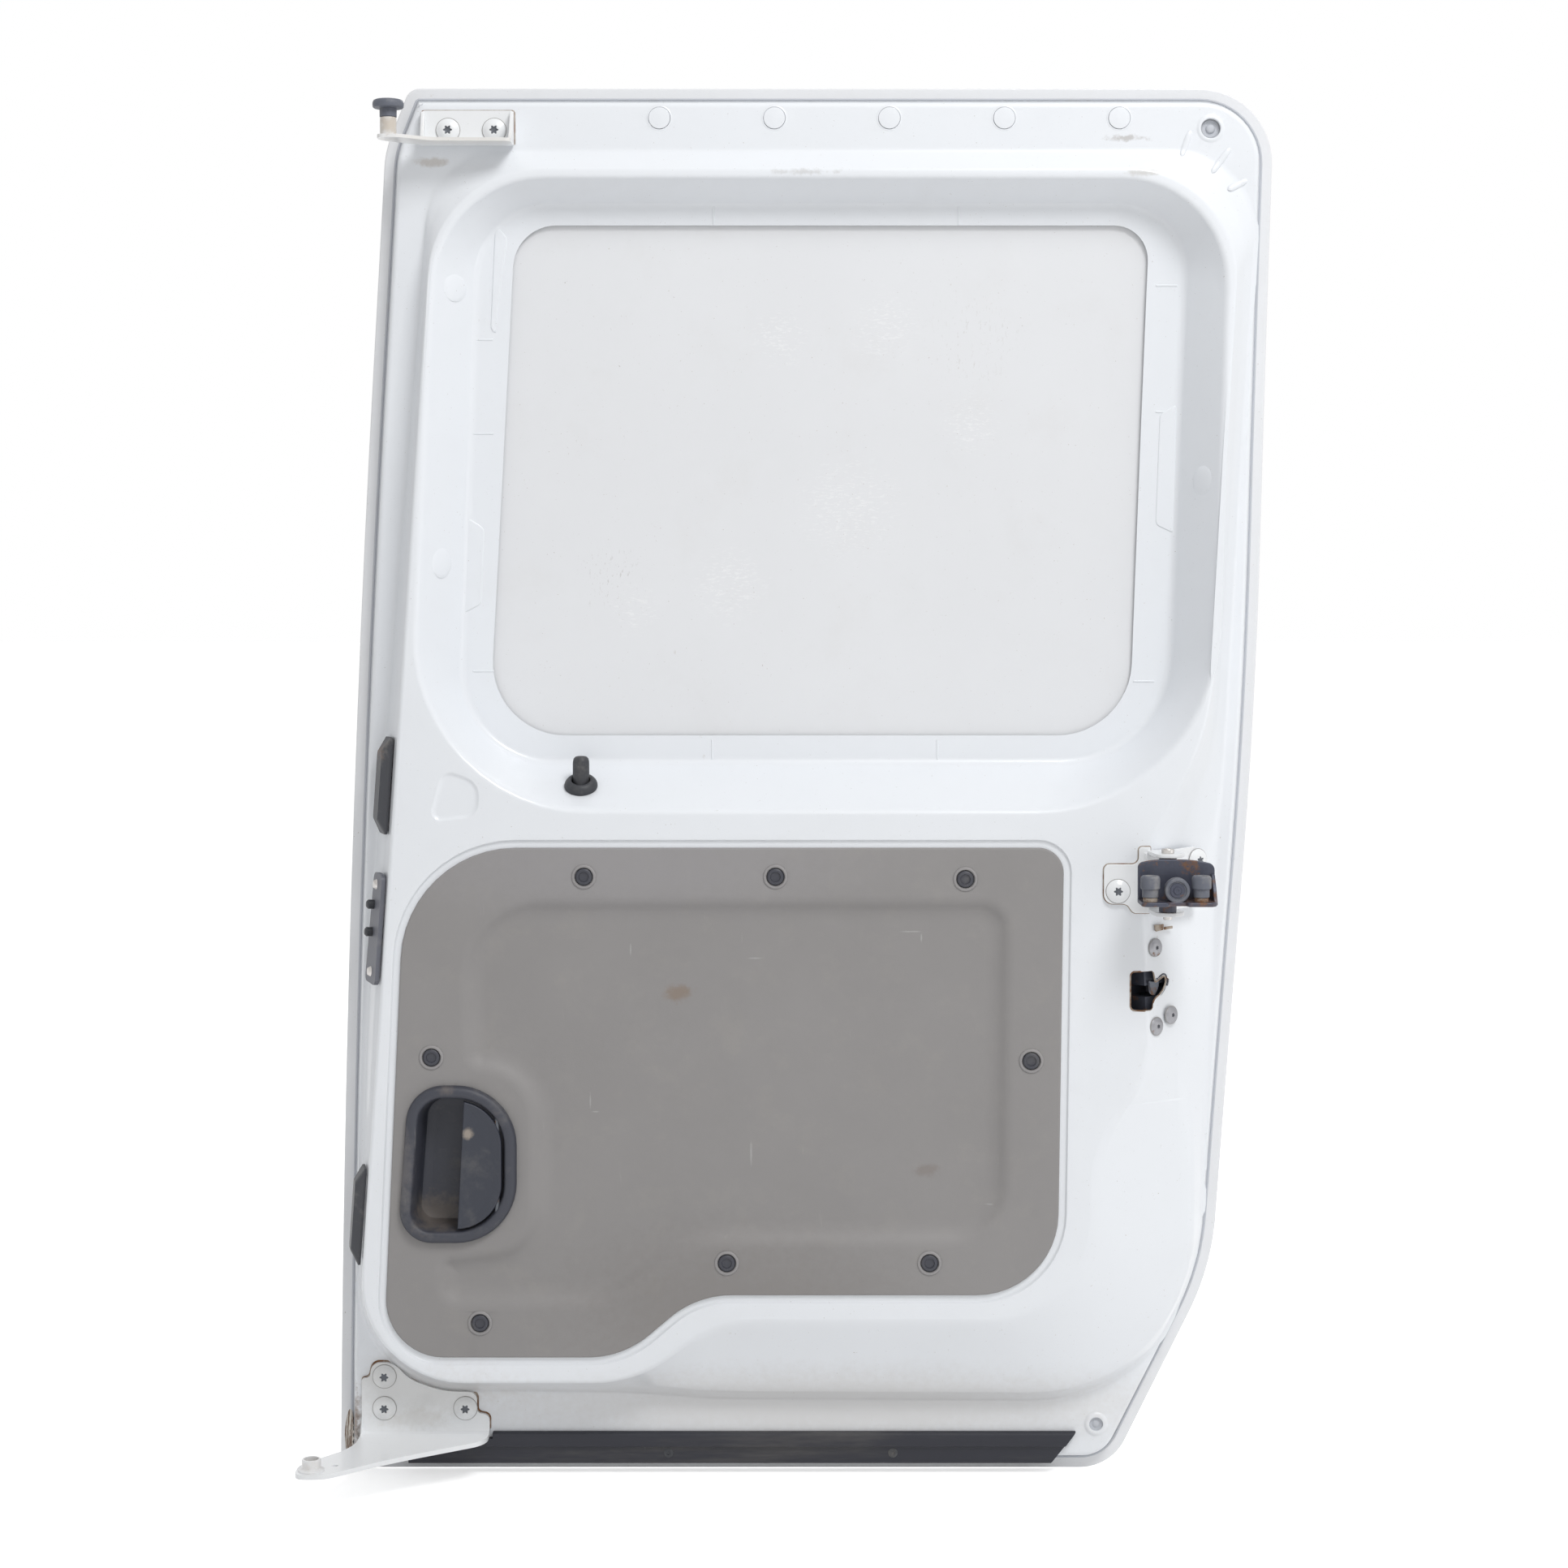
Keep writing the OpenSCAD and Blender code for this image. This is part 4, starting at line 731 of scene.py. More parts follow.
dimple(landHoles, land, circle(*accessHole, 12.5),
       [(0.8, 0.5), (2, 1.2), (3.4, 1.3), (4.1, 0.9), (4.2, -1)])
dimple(landHoles, land, circle(*cornerHole, 11),
       [(1, 0.7), (2.4, 1.8), (4, 2), (4.9, 1.7), (5, 0)])
for x, y in plugPlaces:
    dimple(landHoles, land, circle(x, y, 11.5), [(0.7, 0.35), (1.6, 0.6), (2, 0.3), (2.2, -0.8)])
drop = dimple(faceHoles, face, ring(teardrop, 0, 8, 4),
              [(1, -0.2), (2.2, -1.1), (3.6, -1.7), (5, -1.8)])
innerPanel.fill([drop], lambda y: face(y) - 1.8, 8)
innerPanel.loft(rings(trim, [
    (-7.2, 0), (-6.7, -0.4), (-5.8, -1.9), (-5.1, -2.4), (-3, -2.4), (8, -2.4), (19, -2.4)], face))
innerPanel.fill([landIn, footOut] + landHoles, land, 13)
innerPanel.fill([ridgeIn, recessOut, ledgeOut] + faceHoles, face, 11)

latch = {"mouth": [(280.7, -183.4, 4), (300.5, -184, 3), (301.5, -174.5, 3), (310.5, -168.5, 5),
                   (313.5, -160, 3), (312, -155, 1.5), (303, -160, 1), (301, -149.6, 2),
                   (280.7, -149.8, 4)],
         "claw": [(298, -170, 2), (303, -172.5, 2), (308, -165, 4), (307, -158, 1.5),
                  (301.5, -160, 1), (297, -158, 2)],
         "floor": 34, "lip": 54, "around": 2.2, "bead": 0.7}
contact = {"y": -115, "share": 0.52, "apart": 12, "up": 8, "over": -4, "hole": 5, "depth": 9}
mouth = rounded(latch["mouth"], 6, 3)
mouthTool = Shape().loft([lift(mouth, 30), lift(mouth, 100)], True, True)
# the front wall's axes are mirrored, so the tools' faces are turned
plungerTools = [
    Shape(frontWall(contact["y"], contact["share"])
          @ moved(contact["apart"] * side + contact["up"], contact["over"], -contact["depth"])
          ).lathe([(contact["hole"], 0), (contact["hole"], 13)], 24).turned()
    for side in (-1, 1)]
innerPanel.piece("inner_panel_sheet", "door", "inner_paint", innerPaint, ["inner_panel"],
                 sheet=panel["sheet"], sharp=60, holes=[mouthTool] + plungerTools)

marks = Shape()


def raised(corners, height, run, steps=5):
    # a low pad on the window flange
    marks.loft(rings(corners, [(0, -0.3), (run / 2, height * 0.8), (run, height)],
                     flangeTop, steps, 3))
    marks.fill([ring(corners, run, steps, 3)], lambda y: flangeTop(y) + height, 8)


ticks = [(-79, 505.5, 2, 17), (135, 505.5, 2, 17), (-81, 37.5, 2, 18), (118, 37.5, 2, 18),
         (-282, 398, 19, 2), (-282, 316, 19, 2), (-283, 107, 19, 2),
         (317, 445, 19, 2), (300, 98, 19, 2), (318, 335, 19, 2)]
for x, y, along, across in ticks:
    a, b = along / 2, across / 2
    raised(block(x - a, y - b, x + a, y + b, 0.6), 0.55, 0.5, 3)
raised([(-303, 156, 3), (-284, 166, 4), (-281, 233, 4), (-303, 247, 3)], 0.8, 1.2)
raised([(326, 228, 3), (327, 342, 3), (312, 333, 4), (309, 236, 4)], 0.8, 1.2)
raised([(-275, 405, 5), (-271, 404, 2), (-259, 486, 3), (-270, 499, 3)], 0.8, 1)


def rib(start, stop, width, height):
    a, b = Vector(start), Vector(stop)
    side = leftOf((b - a).normalized()) * width / 2
    sections = []
    for k in range(13):
        p = a.lerp(b, k / 12)
        swell = math.sqrt(max(0, 1 - (2 * k / 12 - 1) ** 4)) + 0.03
        base = panelLevel(*p) - 0.4
        sections.append([(p + side * c * swell).to_3d() + Vector((
            0, 0, base + (height + 0.4) * swell * math.sqrt(max(0, 1 - c * c))))
            for c in (-1, -0.8, -0.45, 0, 0.45, 0.8, 1)])
    marks.loft(sections, closed=False)


rib((326, 553), (334.5, 577), 6, 1.5)
rib((352, 539), (369, 562), 6, 1.8)
rib((366, 524.5), (384, 534), 6, 1.8)
bosses = []
for x, y, t, side in ((-303, 443, 0.53, -1), (-315.5, 203, 0.48, -1), (346.5, 273, 0.4, 1)):
    tilt = math.atan2(face(y) - flangeTop(y), 34) * side
    middle = moved(x, y, face(y) * (1 - t) + flangeTop(y) * t)
    bosses.append(Shape(middle @ Matrix.Rotation(-tilt, 4, "Y")).lathe(
        [(14, -0.4), (12.6, 0.2), (10, 0.75), (6, 1.05), (0.3, 1.15)], 48, False))
joined(marks, *bosses).piece("panel_marks", "door", "inner_paint", innerPaint, sharp=60)

around = onPanel(mouth, 0.1)
outward = [leftOf((after - before).to_2d().normalized()).to_3d() * latch["bead"]
           for before, after in zip(around[-1:] + around, around[1:] + around[:1])]
upward = Vector((0, 0, 0.6))
Shape().loft([[p + q * math.cos(a) + upward * math.sin(a) for p, q in zip(around, outward)]
              for a in (math.tau * k / 6 for k in (0, 1, 2, 3, 4, 5, 0))]).piece(
    "latch_mouth_rim", "door", "latch_steel", rustedEdge)
# a dark well behind the mouth: partly the latch's own dark case, partly a liner of painted shade
# for the closed cavity behind the face
wide = pushed(mouth, -latch["around"])
Shape().loft([onPanel(wide, 1.9), lift(wide, latch["lip"]), lift(mouth, latch["floor"])]).fill(
    [mouth], latch["floor"], 8).piece(
    "latch_shade_well", "door", "latch_steel", latchCaseAndShadeDark, sheet=1.2, grows=1)
claw = rounded(latch["claw"], 5, 2)
Shape().loft([onPanel(pushed(claw, d), h) for d, h in ((0, 9), (0, 5.2), (0.5, 4.6))],
             True, True).piece("latch_claw", "door", "latch_steel", clawSteel)

print("stage: outer skin")
hemRun = [(1.6, 0), (0.8, 0.1), (0.2, 0.6), (0, 1.4), (0.1, 2.2), (0.5, 2.9), (1.2, 3.2), (4, 3.2),
          (hem - 0.3, 3.2), (hem, 3), (hem, 2.2)]
sealerRun = [(8.6, 3.1), (8.8, 3.5), (9.3, 3.8), (9.9, 3.8), (10.4, 3.5), (10.7, 3.0)]
hemTurn, sealerBead = (Shape().loft(rings(edge, run, crown)) for run in (hemRun, sealerRun))
outFace = Shape().fill([ring(edge, 1.6)], crown, 26).turned()
inFace = Shape().fill([ring(edge, 2)], lambda y: crown(y) + 1, 26)
joined(hemTurn.turned(), outFace, inFace).piece(
    "outer_skin_sheet", "door", "skin_paint", skinPaint, ["outer_skin"], sharp=50)
sealerBead.piece("hem_sealer", "door", "seal_rubber", sealer)

tearing = {"low": -590, "height": 44, "steps": 24}
strips = []
for k in range(tearing["steps"] + 1):
    share = k / tearing["steps"]
    y = tearing["low"] + tearing["height"] * share
    ragged = 1.2 * math.sin(k * 1.9) + 0.8 * math.sin(k * 4.1)
    gape = math.sin(math.pi * share) ** 0.7
    strips.append([Vector((front + across, y, crown(y) + rise)) for across, rise in (
        (7.5 - 4 * gape, 3.3),
        (8.3 - 2 * gape, 3.4 + 0.9 * gape),
        (9.1 + (0.6 + 0.4 * ragged) * gape, 3.8 + (2.4 + 0.5 * ragged) * gape),
        (9.8 + (2 + 0.6 * ragged) * gape, 3.6 + (4.2 + 0.8 * ragged) * gape))])
Shape().loft(strips, closed=False).piece("torn_hem", "door", "skin_paint", tornPaint, sheet=0.7)

print("stage: trim panel")
trimPanel = {"sheet": 1.6, "dishDepth": 7, "level": 72.6, "seat": 11}
dish = [(trimLeft + 27, trimLow + 44, 20), (-172, trimLow + 44, 28), (-99, trimLow + 98, 28),
        (trimRight - 48, trimLow + 98, 50), (trimRight - 46, -88, 26), (trimLeft + 46, -88, 70),
        (trimLeft + 52, -233, 14), (-235, -240, 40), (-235, -388, 34), (trimLeft + 28, -397, 10)]
bezel = [(-351, -384, 30), (-248, -384, 52), (-248, -248, 52), (-341, -248, 30)]
clips = [(-190, -68), (-25, -68), (trimRight - 85, -70), (trimLeft + 22, -224),
         (trimRight - 28, -227), (-67, trimLow + 82), (108, trimLow + 82), (-280, trimLow + 30)]
level, dished = trimPanel["level"], trimPanel["level"] - trimPanel["dishDepth"]
dishTop, dishFloor = ring(dish, -4.5), ring(dish, 21)
dishWall = lift(ring(dish, 6), level - 3.2)
trimShape = Shape().loft(rings(trim, [
    (0.3, -3), (0, -2.4), (0, -1.3), (0.3, -0.6), (0.9, -0.12), (1.9, 0)], level))
trimShape.loft(fillet(lift(dishTop, level), lift(ring(dish, 1), level), dishWall, 7)[:-1]
               + fillet(dishWall, lift(ring(dish, 12), dished), lift(dishFloor, dished), 8))
for x, y in clips:
    trimShape.loft([lift(circle(x, y, r), level + h) for r, h in (
        (trimPanel["seat"], 0), (10.6, -0.35), (10.2, 0.3), (9.6, 0.85), (9, 0.95), (8.5, 0.6),
        (8.2, -0.6), (7.9, -1.6), (3.5, -1.6))])
seats = [circle(x, y, trimPanel["seat"]) for x, y in clips]
trimShape.fill([ring(trim, 1.9), dishTop, ring(bezel, 7)] + seats, level, 12)
trimShape.fill([dishFloor], dished, 14)
trimShape.piece("trim_sheet", "door", "trim_plastic", trimPlastic, ["trim_panel"],
                sheet=trimPanel["sheet"], sharp=60)
turnedAt(clips, level - 1.5, [
    (3, -9), (4, 0), (6.9, 0), (7.4, 0.4), (7.4, 1.2), (6.9, 1.9), (5.6, 2.4), (4.4, 2.3),
    (4, 1.1), (0.6, 0.9), (0.5, 0.9)], 40).piece(
    "trim_clip_caps", "door", "black_plastic", capPlastic, ["trim_clips"])
# the rings round the clips take the lighter copy of the trim plastic, a painted highlight
turnedAt(clips, level, [
    (7.7, -1.6), (7.9, 0.1), (8.5, 1), (9.4, 1.15), (10.2, 0.75), (10.7, 0), (10.8, -0.6)],
    40, False).piece("trim_clip_rings", "door", "trim_plastic", ringHighlightPlastic)

print("stage: handle and knob")
handle = {"frame": 11, "top": 79.6, "cupFloor": 45, "shell": 1.8, "gap": 1.6,
          "leverLow": -299.6, "leverHigh": -292.6, "leverMiddle": (-277, -316),
          "pinX": -264.6, "knuckleLow": -338, "knuckle": 44}
opening = inset(bezel, handle["frame"])
top, cupFloor = handle["top"], handle["cupFloor"]
outside = [(0.4, level - 1.2), (0, level + 0.2), (0.2, top - 4.4), (0.9, top - 2.4),
           (2.1, top - 1.1), (3.8, top - 0.3), (5.6, top)]
inward = [(-3.6, top - 0.2), (-2, top - 0.9), (-1, top - 2.2), (-0.3, top - 4.4), (0, level),
          (0.6, level - 3), (1.4, level - 10), (2.4, cupFloor + 7), (4.4, cupFloor + 2),
          (8, cupFloor + 0.3), (13, cupFloor)]
Shape().loft(rings(bezel, outside) + rings(opening, inward), end=True).piece(
    "handle_bezel_shell", "door", "bezel_plastic", bezelPlastic, ["handle_bezel"],
    sheet=handle["shell"])

# the lever fills the rear of the opening up to its free edge
freeEdge = [(handle["leverLow"], bezel[0][1]), (handle["leverHigh"], bezel[2][1])]
leverLine = [Vector((max(p.x, lineX(freeEdge, 0, 1, p.y)), p.y))
             for p in ring(inset(opening, handle["gap"]), 0, 14, 10)]
middleX, middleY = handle["leverMiddle"]
leverForm = [(0.92, 5.5), (0.985, 5.4), (1, 4.8), (1, 3.2), (0.992, 2.1), (0.97, 1.35),
             (0.93, 1.05), (0.86, 1.1), (0.72, 1.5), (0.5, 2.0), (0.2, 2.3)]
Shape().loft([[Vector((middleX + (p.x - middleX) * k,
                       middleY + (p.y - middleY) * (1 - (1 - k) * 0.4), top - h))
               for p in leverLine] for k, h in leverForm], True, True).piece(
    "handle_lever_shell", "lever", "lever_plastic", leverPlastic, ["handle_lever"])
Shape(upDoor(handle["pinX"], handle["knuckleLow"], top - 4.6)).lathe(
    [(2.1, 0), (3.2, 0.2), (3.2, handle["knuckle"] - 0.2), (2.1, handle["knuckle"])], 24).piece(
    "lever_knuckle", "lever", "lever_plastic", leverPlastic)

knob = {"x": -194.5, "level": 40}
slopeRun, slopeRise = flange[0][1] - recess[0][1], face(0) - flangeTop(flange[0][1])
knobY = flange[0][1] - (knob["level"] - flangeTop(flange[0][1])) * slopeRun / slopeRise
slopeTilt = math.atan2(slopeRun, slopeRise) - math.radians(90)
Shape(moved(knob["x"], knobY, knob["level"]) @ Matrix.Rotation(slopeTilt, 4, "X")).lathe(
    [(7.9, 0.2), (14.2, 0.2), (14.5, 1), (14.5, 2.6), (13.9, 4.6), (12.4, 6.6), (10.8, 7.7),
     (9.2, 8), (8.2, 7.6), (7.9, 6.6), (7.9, 0.2)], 56, False, False).piece(
    "knob_grommet", "door", "black_plastic", blackPlastic, ["lock_grommet"])
Shape(upDoor(knob["x"], knobY, knob["level"])).lathe(
    [(2.4, -44), (2.4, -14), (6.6, -14), (7.25, -13), (7.25, 20), (7.1, 22.6), (6.4, 25),
     (5, 26.5), (3.4, 27), (2.6, 26.6), (1.6, 26), (0.3, 25.9)]).piece(
    "lock_knob_stalk", "knob", "black_plastic", blackPlastic, ["lock_knob"])

print("stage: arms")
armBolt = {"radius": 10.15, "height": 3.7, "shank": 4, "lobe": 4.2}
latchScrew = {"radius": 7.5, "height": 2.6, "shank": 3, "lobe": 2.1}
starRecessShades, boltShadowRings = [], []


def starRing(r, h, lobes=0.0):
    return [((r + lobes * math.cos(6 * a)) * math.cos(a),
             (r + lobes * math.cos(6 * a)) * math.sin(a), h)
            for a in (math.tau * k / 72 for k in range(72))]


def boltHead(place, form):
    # a domed head with a six-lobe recess; the recess is lined by a dark piece of its own, which
    # paints the shade in its depth
    radius, height, shank, lobe = form["radius"], form["height"], form["shank"], form["lobe"]
    cut, lobes = lobe * 0.8, lobe * 0.17
    dome = [(1, 0), (1, 0.17), (0.985, 0.27), (0.94, 0.36), (0.88, 0.42), (0.80, 0.58),
            (0.68, 0.76), (0.55, 0.91), (0.44, 0.98), (0.40, 1)]
    rings = [starRing(shank, -6), starRing(shank, 0)]
    rings += [starRing(radius * r, height * h) for r, h in dome]
    rings += [starRing(cut - d, height - h, lobes) for d, h in ((0, 0), (0.12, 0.2), (0.15, 2.2))]
    starRecessShades.append(Shape(place).loft(
        [starRing(cut - 0.2, height - 2, lobes), starRing(cut - 0.2, height - 1, lobes),
         starRing(lobe * 0.42, height - 1.15, lobe * 0.05), starRing(lobe * 0.3, height - 1.5)],
        True, True))
    # a thin grey ring round the foot of the head: a painted shadow line
    boltShadowRings.append(Shape(place).lathe(
        [(radius - 1, 0.02), (radius + 0.55, 0.02), (radius + 0.55, 0.3), (radius - 1, 0.5)]))
    return Shape(place).loft(rings, True, True)


def boltHeads(name, slot, material, stands, form, places):
    joined(*(boltHead(p, form) for p in places)).piece(name, "door", slot, material, [stands])


def onArm(arm):
    return [moved(x, y, arm["base"] + arm["sheet"]) for x, y in arm["bolts"]]


def flatY(arm, z):
    # where the flat sheet has the point that stands at this level once it is bent; the bend
    # takes a quarter turn of sheet where its two straight runs would take twice its radius
    saved = (2 - math.pi / 2) * arm["bend"]
    return arm["y"] - (z - arm["base"] - arm["sheet"] - saved)


def bentArm(arm, outline, holes):
    sheet = Shape().fill([ring(outline, 0, 8, 4)] + holes, 0, 4)
    if "dimple" in arm:
        x, y, depth = arm["dimple"]
        for p in sheet.points:
            p.z += depth * max(0, 1 - ((p.x - x) ** 2 + (p.y - y) ** 2) / 300) ** 1.5
    return sheet.bend(arm["y"] + arm["bend"], arm["bend"], arm["base"] + arm["sheet"])


def boltHoles(bolts):
    return [circle(x, y, 4.5, 24) for x, y in bolts]


lower = {"y": -560, "base": baseLand, "sheet": 4, "bend": 4, "left": -388, "right": -276,
         "dimple": (-331, -542, 3.2), "bolts": [(-368, -511), (-368, -539), (-297, -539)]}
collarX, collarLevel = front - 5, baseLand + 108
left, right = lower["left"], lower["right"]
armOutline = [
    (collarX - 13, flatY(lower, collarLevel + 13), 9),
    (collarX + 13, flatY(lower, collarLevel + 13), 9),
    (-352, flatY(lower, baseLand + 78), 30), (right, flatY(lower, baseLand + 28), 14),
    (right, -545, 5), (-287, -543, 3.5), (-287, -525, 7), (-318, -524, 12), (-346, -514, 9),
    (-360, -499, 8), (-379, -499, 7), (-381, -512, 3), (left, -513, 2),
    (left, flatY(lower, baseLand + 46), 20), (collarX - 13, flatY(lower, collarLevel - 14), 9)]
drain = circle(collarX + 18, flatY(lower, collarLevel - 12), 2.5, 20)
bentArm(lower, armOutline, boltHoles(lower["bolts"]) + [drain]).piece(
    "lower_arm_plate", "door", "arm_paint", armPaint, ["lower_arm"], sheet=lower["sheet"],
    edge=0.9)
# a thin dark rim just outside the lower plate's outline, where it meets the land
armDarkRim = [(right + 1.2, -558, 0.5), (right + 1.2, -544, 5), (-285.8, -542, 3.5),
           (-285.6, -523.8, 7), (-317.6, -522.7, 12), (-345.6, -512.7, 9), (-359.6, -497.6, 8),
           (-379.6, -497.6, 7), (-382.2, -511, 3), (left - 0.6, -512.4, 2),
           (left - 0.6, -558, 0.5)]
Shape().prism(armDarkRim, baseLand - 0.1, baseLand + 0.5, 0.2).piece(
    "arm_dark_rim", "door", "arm_paint", rustedEdge)
Shape(upDoor(collarX, lower["y"], collarLevel)).lathe(
    [(6, -0.5), (11, -0.5), (11, 0.9), (10.4, 1.4), (8.8, 1.8), (8.1, 2.6), (8, 9.2), (7.6, 9.9),
     (7, 10), (6.3, 9.9), (6, 9.4), (6, -0.5)], 48, False, False).piece(
    "lower_collar_ring", "door", "arm_paint", armPaint, ["lower_collar"])
boltHeads("lower_arm_bolt_heads", "arm_paint", armPaint, "lower_arm_bolts", armBolt,
          onArm(lower))

upper = {"x": -251, "y": 565, "width": 80, "base": topLand, "sheet": 3, "bend": 1.6,
         "bolts": [(-268, 576), (-308, 576)]}
upperX, upperY, upperLeft = upper["x"], upper["y"], upper["x"] - upper["width"]
rollerX, rollerLevel = upperX - 102.5, topLand + 46
upperOutline = [
    (rollerX - 9, flatY(upper, rollerLevel + 9), 6),
    (rollerX + 9, flatY(upper, rollerLevel + 9), 6),
    (upperX - 68, flatY(upper, topLand + 36), 10), (upperX, flatY(upper, topLand + 34), 5),
    (upperX, upperY + 28, 3), (upperLeft, upperY + 28, 3),
    (upperLeft, flatY(upper, topLand + 12), 6), (rollerX - 9, flatY(upper, rollerLevel - 8), 6)]
bentArm(upper, upperOutline, boltHoles(upper["bolts"])).piece(
    "upper_arm_plate", "door", "arm_paint", armPaint, ["upper_arm"], sheet=upper["sheet"],
    edge=0.7)
webs = [(upperX - 3, [(-1, -1, 1), (27, -1, 1), (27, 4, 3), (4, 18.5, 6), (-1, 30, 1)]),
        (upperLeft, [(-1, -1, 1), (27, -1, 1), (27, 3, 2), (4, 10.5, 6), (-1, 10.5, 1)])]
joined(*(Shape(moved(x, upperY, topLand + 3) @ sideways).prism(corners, 0, 3)
         for x, corners in webs)).piece("upper_arm_webs", "door", "arm_paint", armPaint)
# a thin dark rim just outside the upper plate's outline
upperDarkRim = block(upperLeft - 0.9, upperY - 1, upperX + 0.9, upperY + 28.9, 0.5, 3)
Shape().prism(upperDarkRim, topLand - 0.1, topLand + 0.4, 0.2).piece(
    "upper_arm_dark_rim", "door", "arm_paint", rustedEdge)
boltHeads("upper_arm_bolt_heads", "arm_paint", armPaint, "upper_arm_bolts", armBolt,
          onArm(upper))
Shape(upDoor(rollerX, upperY, rollerLevel)).lathe(
    [(4, -3), (4, 0), (7, 0), (7, 14), (6.5, 15), (4, 15), (4, 27), (3.5, 27.5)], 40).piece(
    "upper_roller_axle", "door", "arm_paint", armPaint, ["upper_roller_pin"])
Shape(upDoor(rollerX, upperY + 15.3, rollerLevel)).lathe(
    [(4.2, 0), (7.2, 0), (7.25, 7.2), (8.4, 7.5), (12.2, 7.5), (13, 8.2), (13.25, 10), (13.2, 12),
     (12.4, 13.8), (11, 14.5), (7.6, 14.5), (6.8, 14.1), (0.4, 14)], 56).piece(
    "upper_roller_wheel", "upper_roller", "roller_nylon", rollerNylon, ["upper_roller"])

print("stage: carriage")
carriage = {"pivotX": 309, "pivotLevel": 99, "earTop": -45, "earLow": -95, "sheet": 3.5,
            "backLevel": 110, "rollerLevel": 130, "tray": -86, "loadX": 3.5, "loadY": -73}
pivotX, pivotLevel, backLevel = (carriage[k] for k in ("pivotX", "pivotLevel", "backLevel"))
rollLevel, trayY, sheet = carriage["rollerLevel"], carriage["tray"], carriage["sheet"]
loadX, loadY = pivotX + carriage["loadX"], carriage["loadY"]
bracketPlate = [(282.5, -99, 3), (297.5, -99, 1), (297.5, -42, 1), (287.5, -42, 3),
                (287.5, -57, 6), (257.5, -57, 5), (257.5, -91, 8), (277.5, -91, 4)]
earOutline = [(294.5, 73, 1), (315.5, 58, 1), (pivotX + 16, pivotLevel - 4, 6),
              (pivotX + 6, pivotLevel + 10, 5), (pivotX - 10, pivotLevel + 8, 5)]
joined(Shape().prism(bracketPlate, 72, 75.5, 0.7),
       Shape(rearWall(-70, 1)).prism(block(-29, -60, 23, 0, 4, 1), 3.8, 7.3, 0.7),
       *(Shape(downDoor(y)).prism(earOutline, 0, sheet, 0.7)
         for y in (carriage["earTop"], carriage["earLow"]))).piece(
    "rear_bracket_plates", "door", "arm_paint", armPaint, ["rear_bracket"])
# a thin dark rim just outside the bracket plate's outline
Shape().prism(inset(bracketPlate, -0.8), 71.9, 72.5, 0.2).piece(
    "bracket_dark_rim", "door", "arm_paint", rustedEdge)
boltHeads("bracket_bolt_heads", "arm_paint", armPaint, "rear_bracket_bolts", armBolt,
          [moved(269.5, -80, 75.5), rearWall(-57, 0.32) @ moved(0, 0, 7.3)])
Shape(upDoor(pivotX, carriage["earLow"] - 6.5, pivotLevel)).lathe(
    [(3.4, 0), (4, 0.6), (4, 56.4), (5.4, 56.5), (5.5, 57), (5.5, 59.6), (5, 60.3), (2.6, 60.4),
     (2.2, 59.9), (0.3, 59.8)], 36).piece(
    "pivot_pin", "door", "zinc_steel", zincSteel, ["carriage_pin"])

backPlate = [(pivotX - 27, trayY, 1), (pivotX + 38, trayY, 1), (pivotX + 38, trayY + 33, 5),
             (pivotX + 20, trayY + 37, 12), (pivotX - 14, trayY + 37, 8),
             (pivotX - 27, trayY + 34, 4)]
trayPlate = [(pivotX - 27, backLevel - 2, 1), (pivotX + 38, backLevel - 2, 1),
             (pivotX + 36, rollLevel + 10, 6), (pivotX + 12, rollLevel + 10, 2),
             (pivotX + 10, rollLevel + 4, 2), (pivotX - 3, rollLevel + 4, 2),
             (pivotX - 5, rollLevel + 10, 2), (pivotX - 27, rollLevel + 10, 6)]
cheek = [(0, 0, 1), (30, 0, 8), (16, 12, 6), (0, 22, 3)]
joined(Shape().prism(backPlate, backLevel - 2, backLevel + 2, 1),
       Shape(downDoor(trayY + sheet)).prism(trayPlate, 0, sheet, 0.8),
       Shape(moved(pivotX + 34.5, trayY, backLevel) @ sideways).prism(cheek, 0, 3.2, 0.7),
       Shape(upDoor(pivotX, -94.6, pivotLevel)).lathe(
           [(4.1, 0), (7.5, 0), (7.5, 45.7), (4.1, 45.7)], 40),
       Shape().prism(block(pivotX - 6, trayY + 1, pivotX + 6, trayY + 33, 1, 2),
                     pivotLevel, backLevel, 0.5)).piece(
    "carriage_plates", "carriage", "carriage_steel", carriageSteel, ["carriage_arm"], sharp=50)
Shape(moved(loadX, loadY, rollLevel - 4)).lathe(
    [(3.1, 0.2), (10.2, 0), (10.75, 0.6), (10.75, 6), (10.3, 7.4), (9.3, 8), (8, 7.8), (7.3, 6.9),
     (7, 6.5), (3.1, 6.5), (3.1, 0.2)], 56, False, False).piece(
    "load_wheel", "load_roller", "roller_nylon", rollerNylon, ["load_roller"])
Shape(moved(loadX, loadY, backLevel - 2)).lathe(
    [(2.4, 0), (3, 0.6), (3, 24.2), (6.3, 24.3), (6.4, 24.7), (6.1, 25.2), (3.6, 25.4), (3.1, 26),
     (1.2, 26), (0.9, 25.6), (0.3, 25.5)], 32).piece(
    "load_axle", "carriage", "zinc_steel", carriageSteel, ["load_roller_pin"])
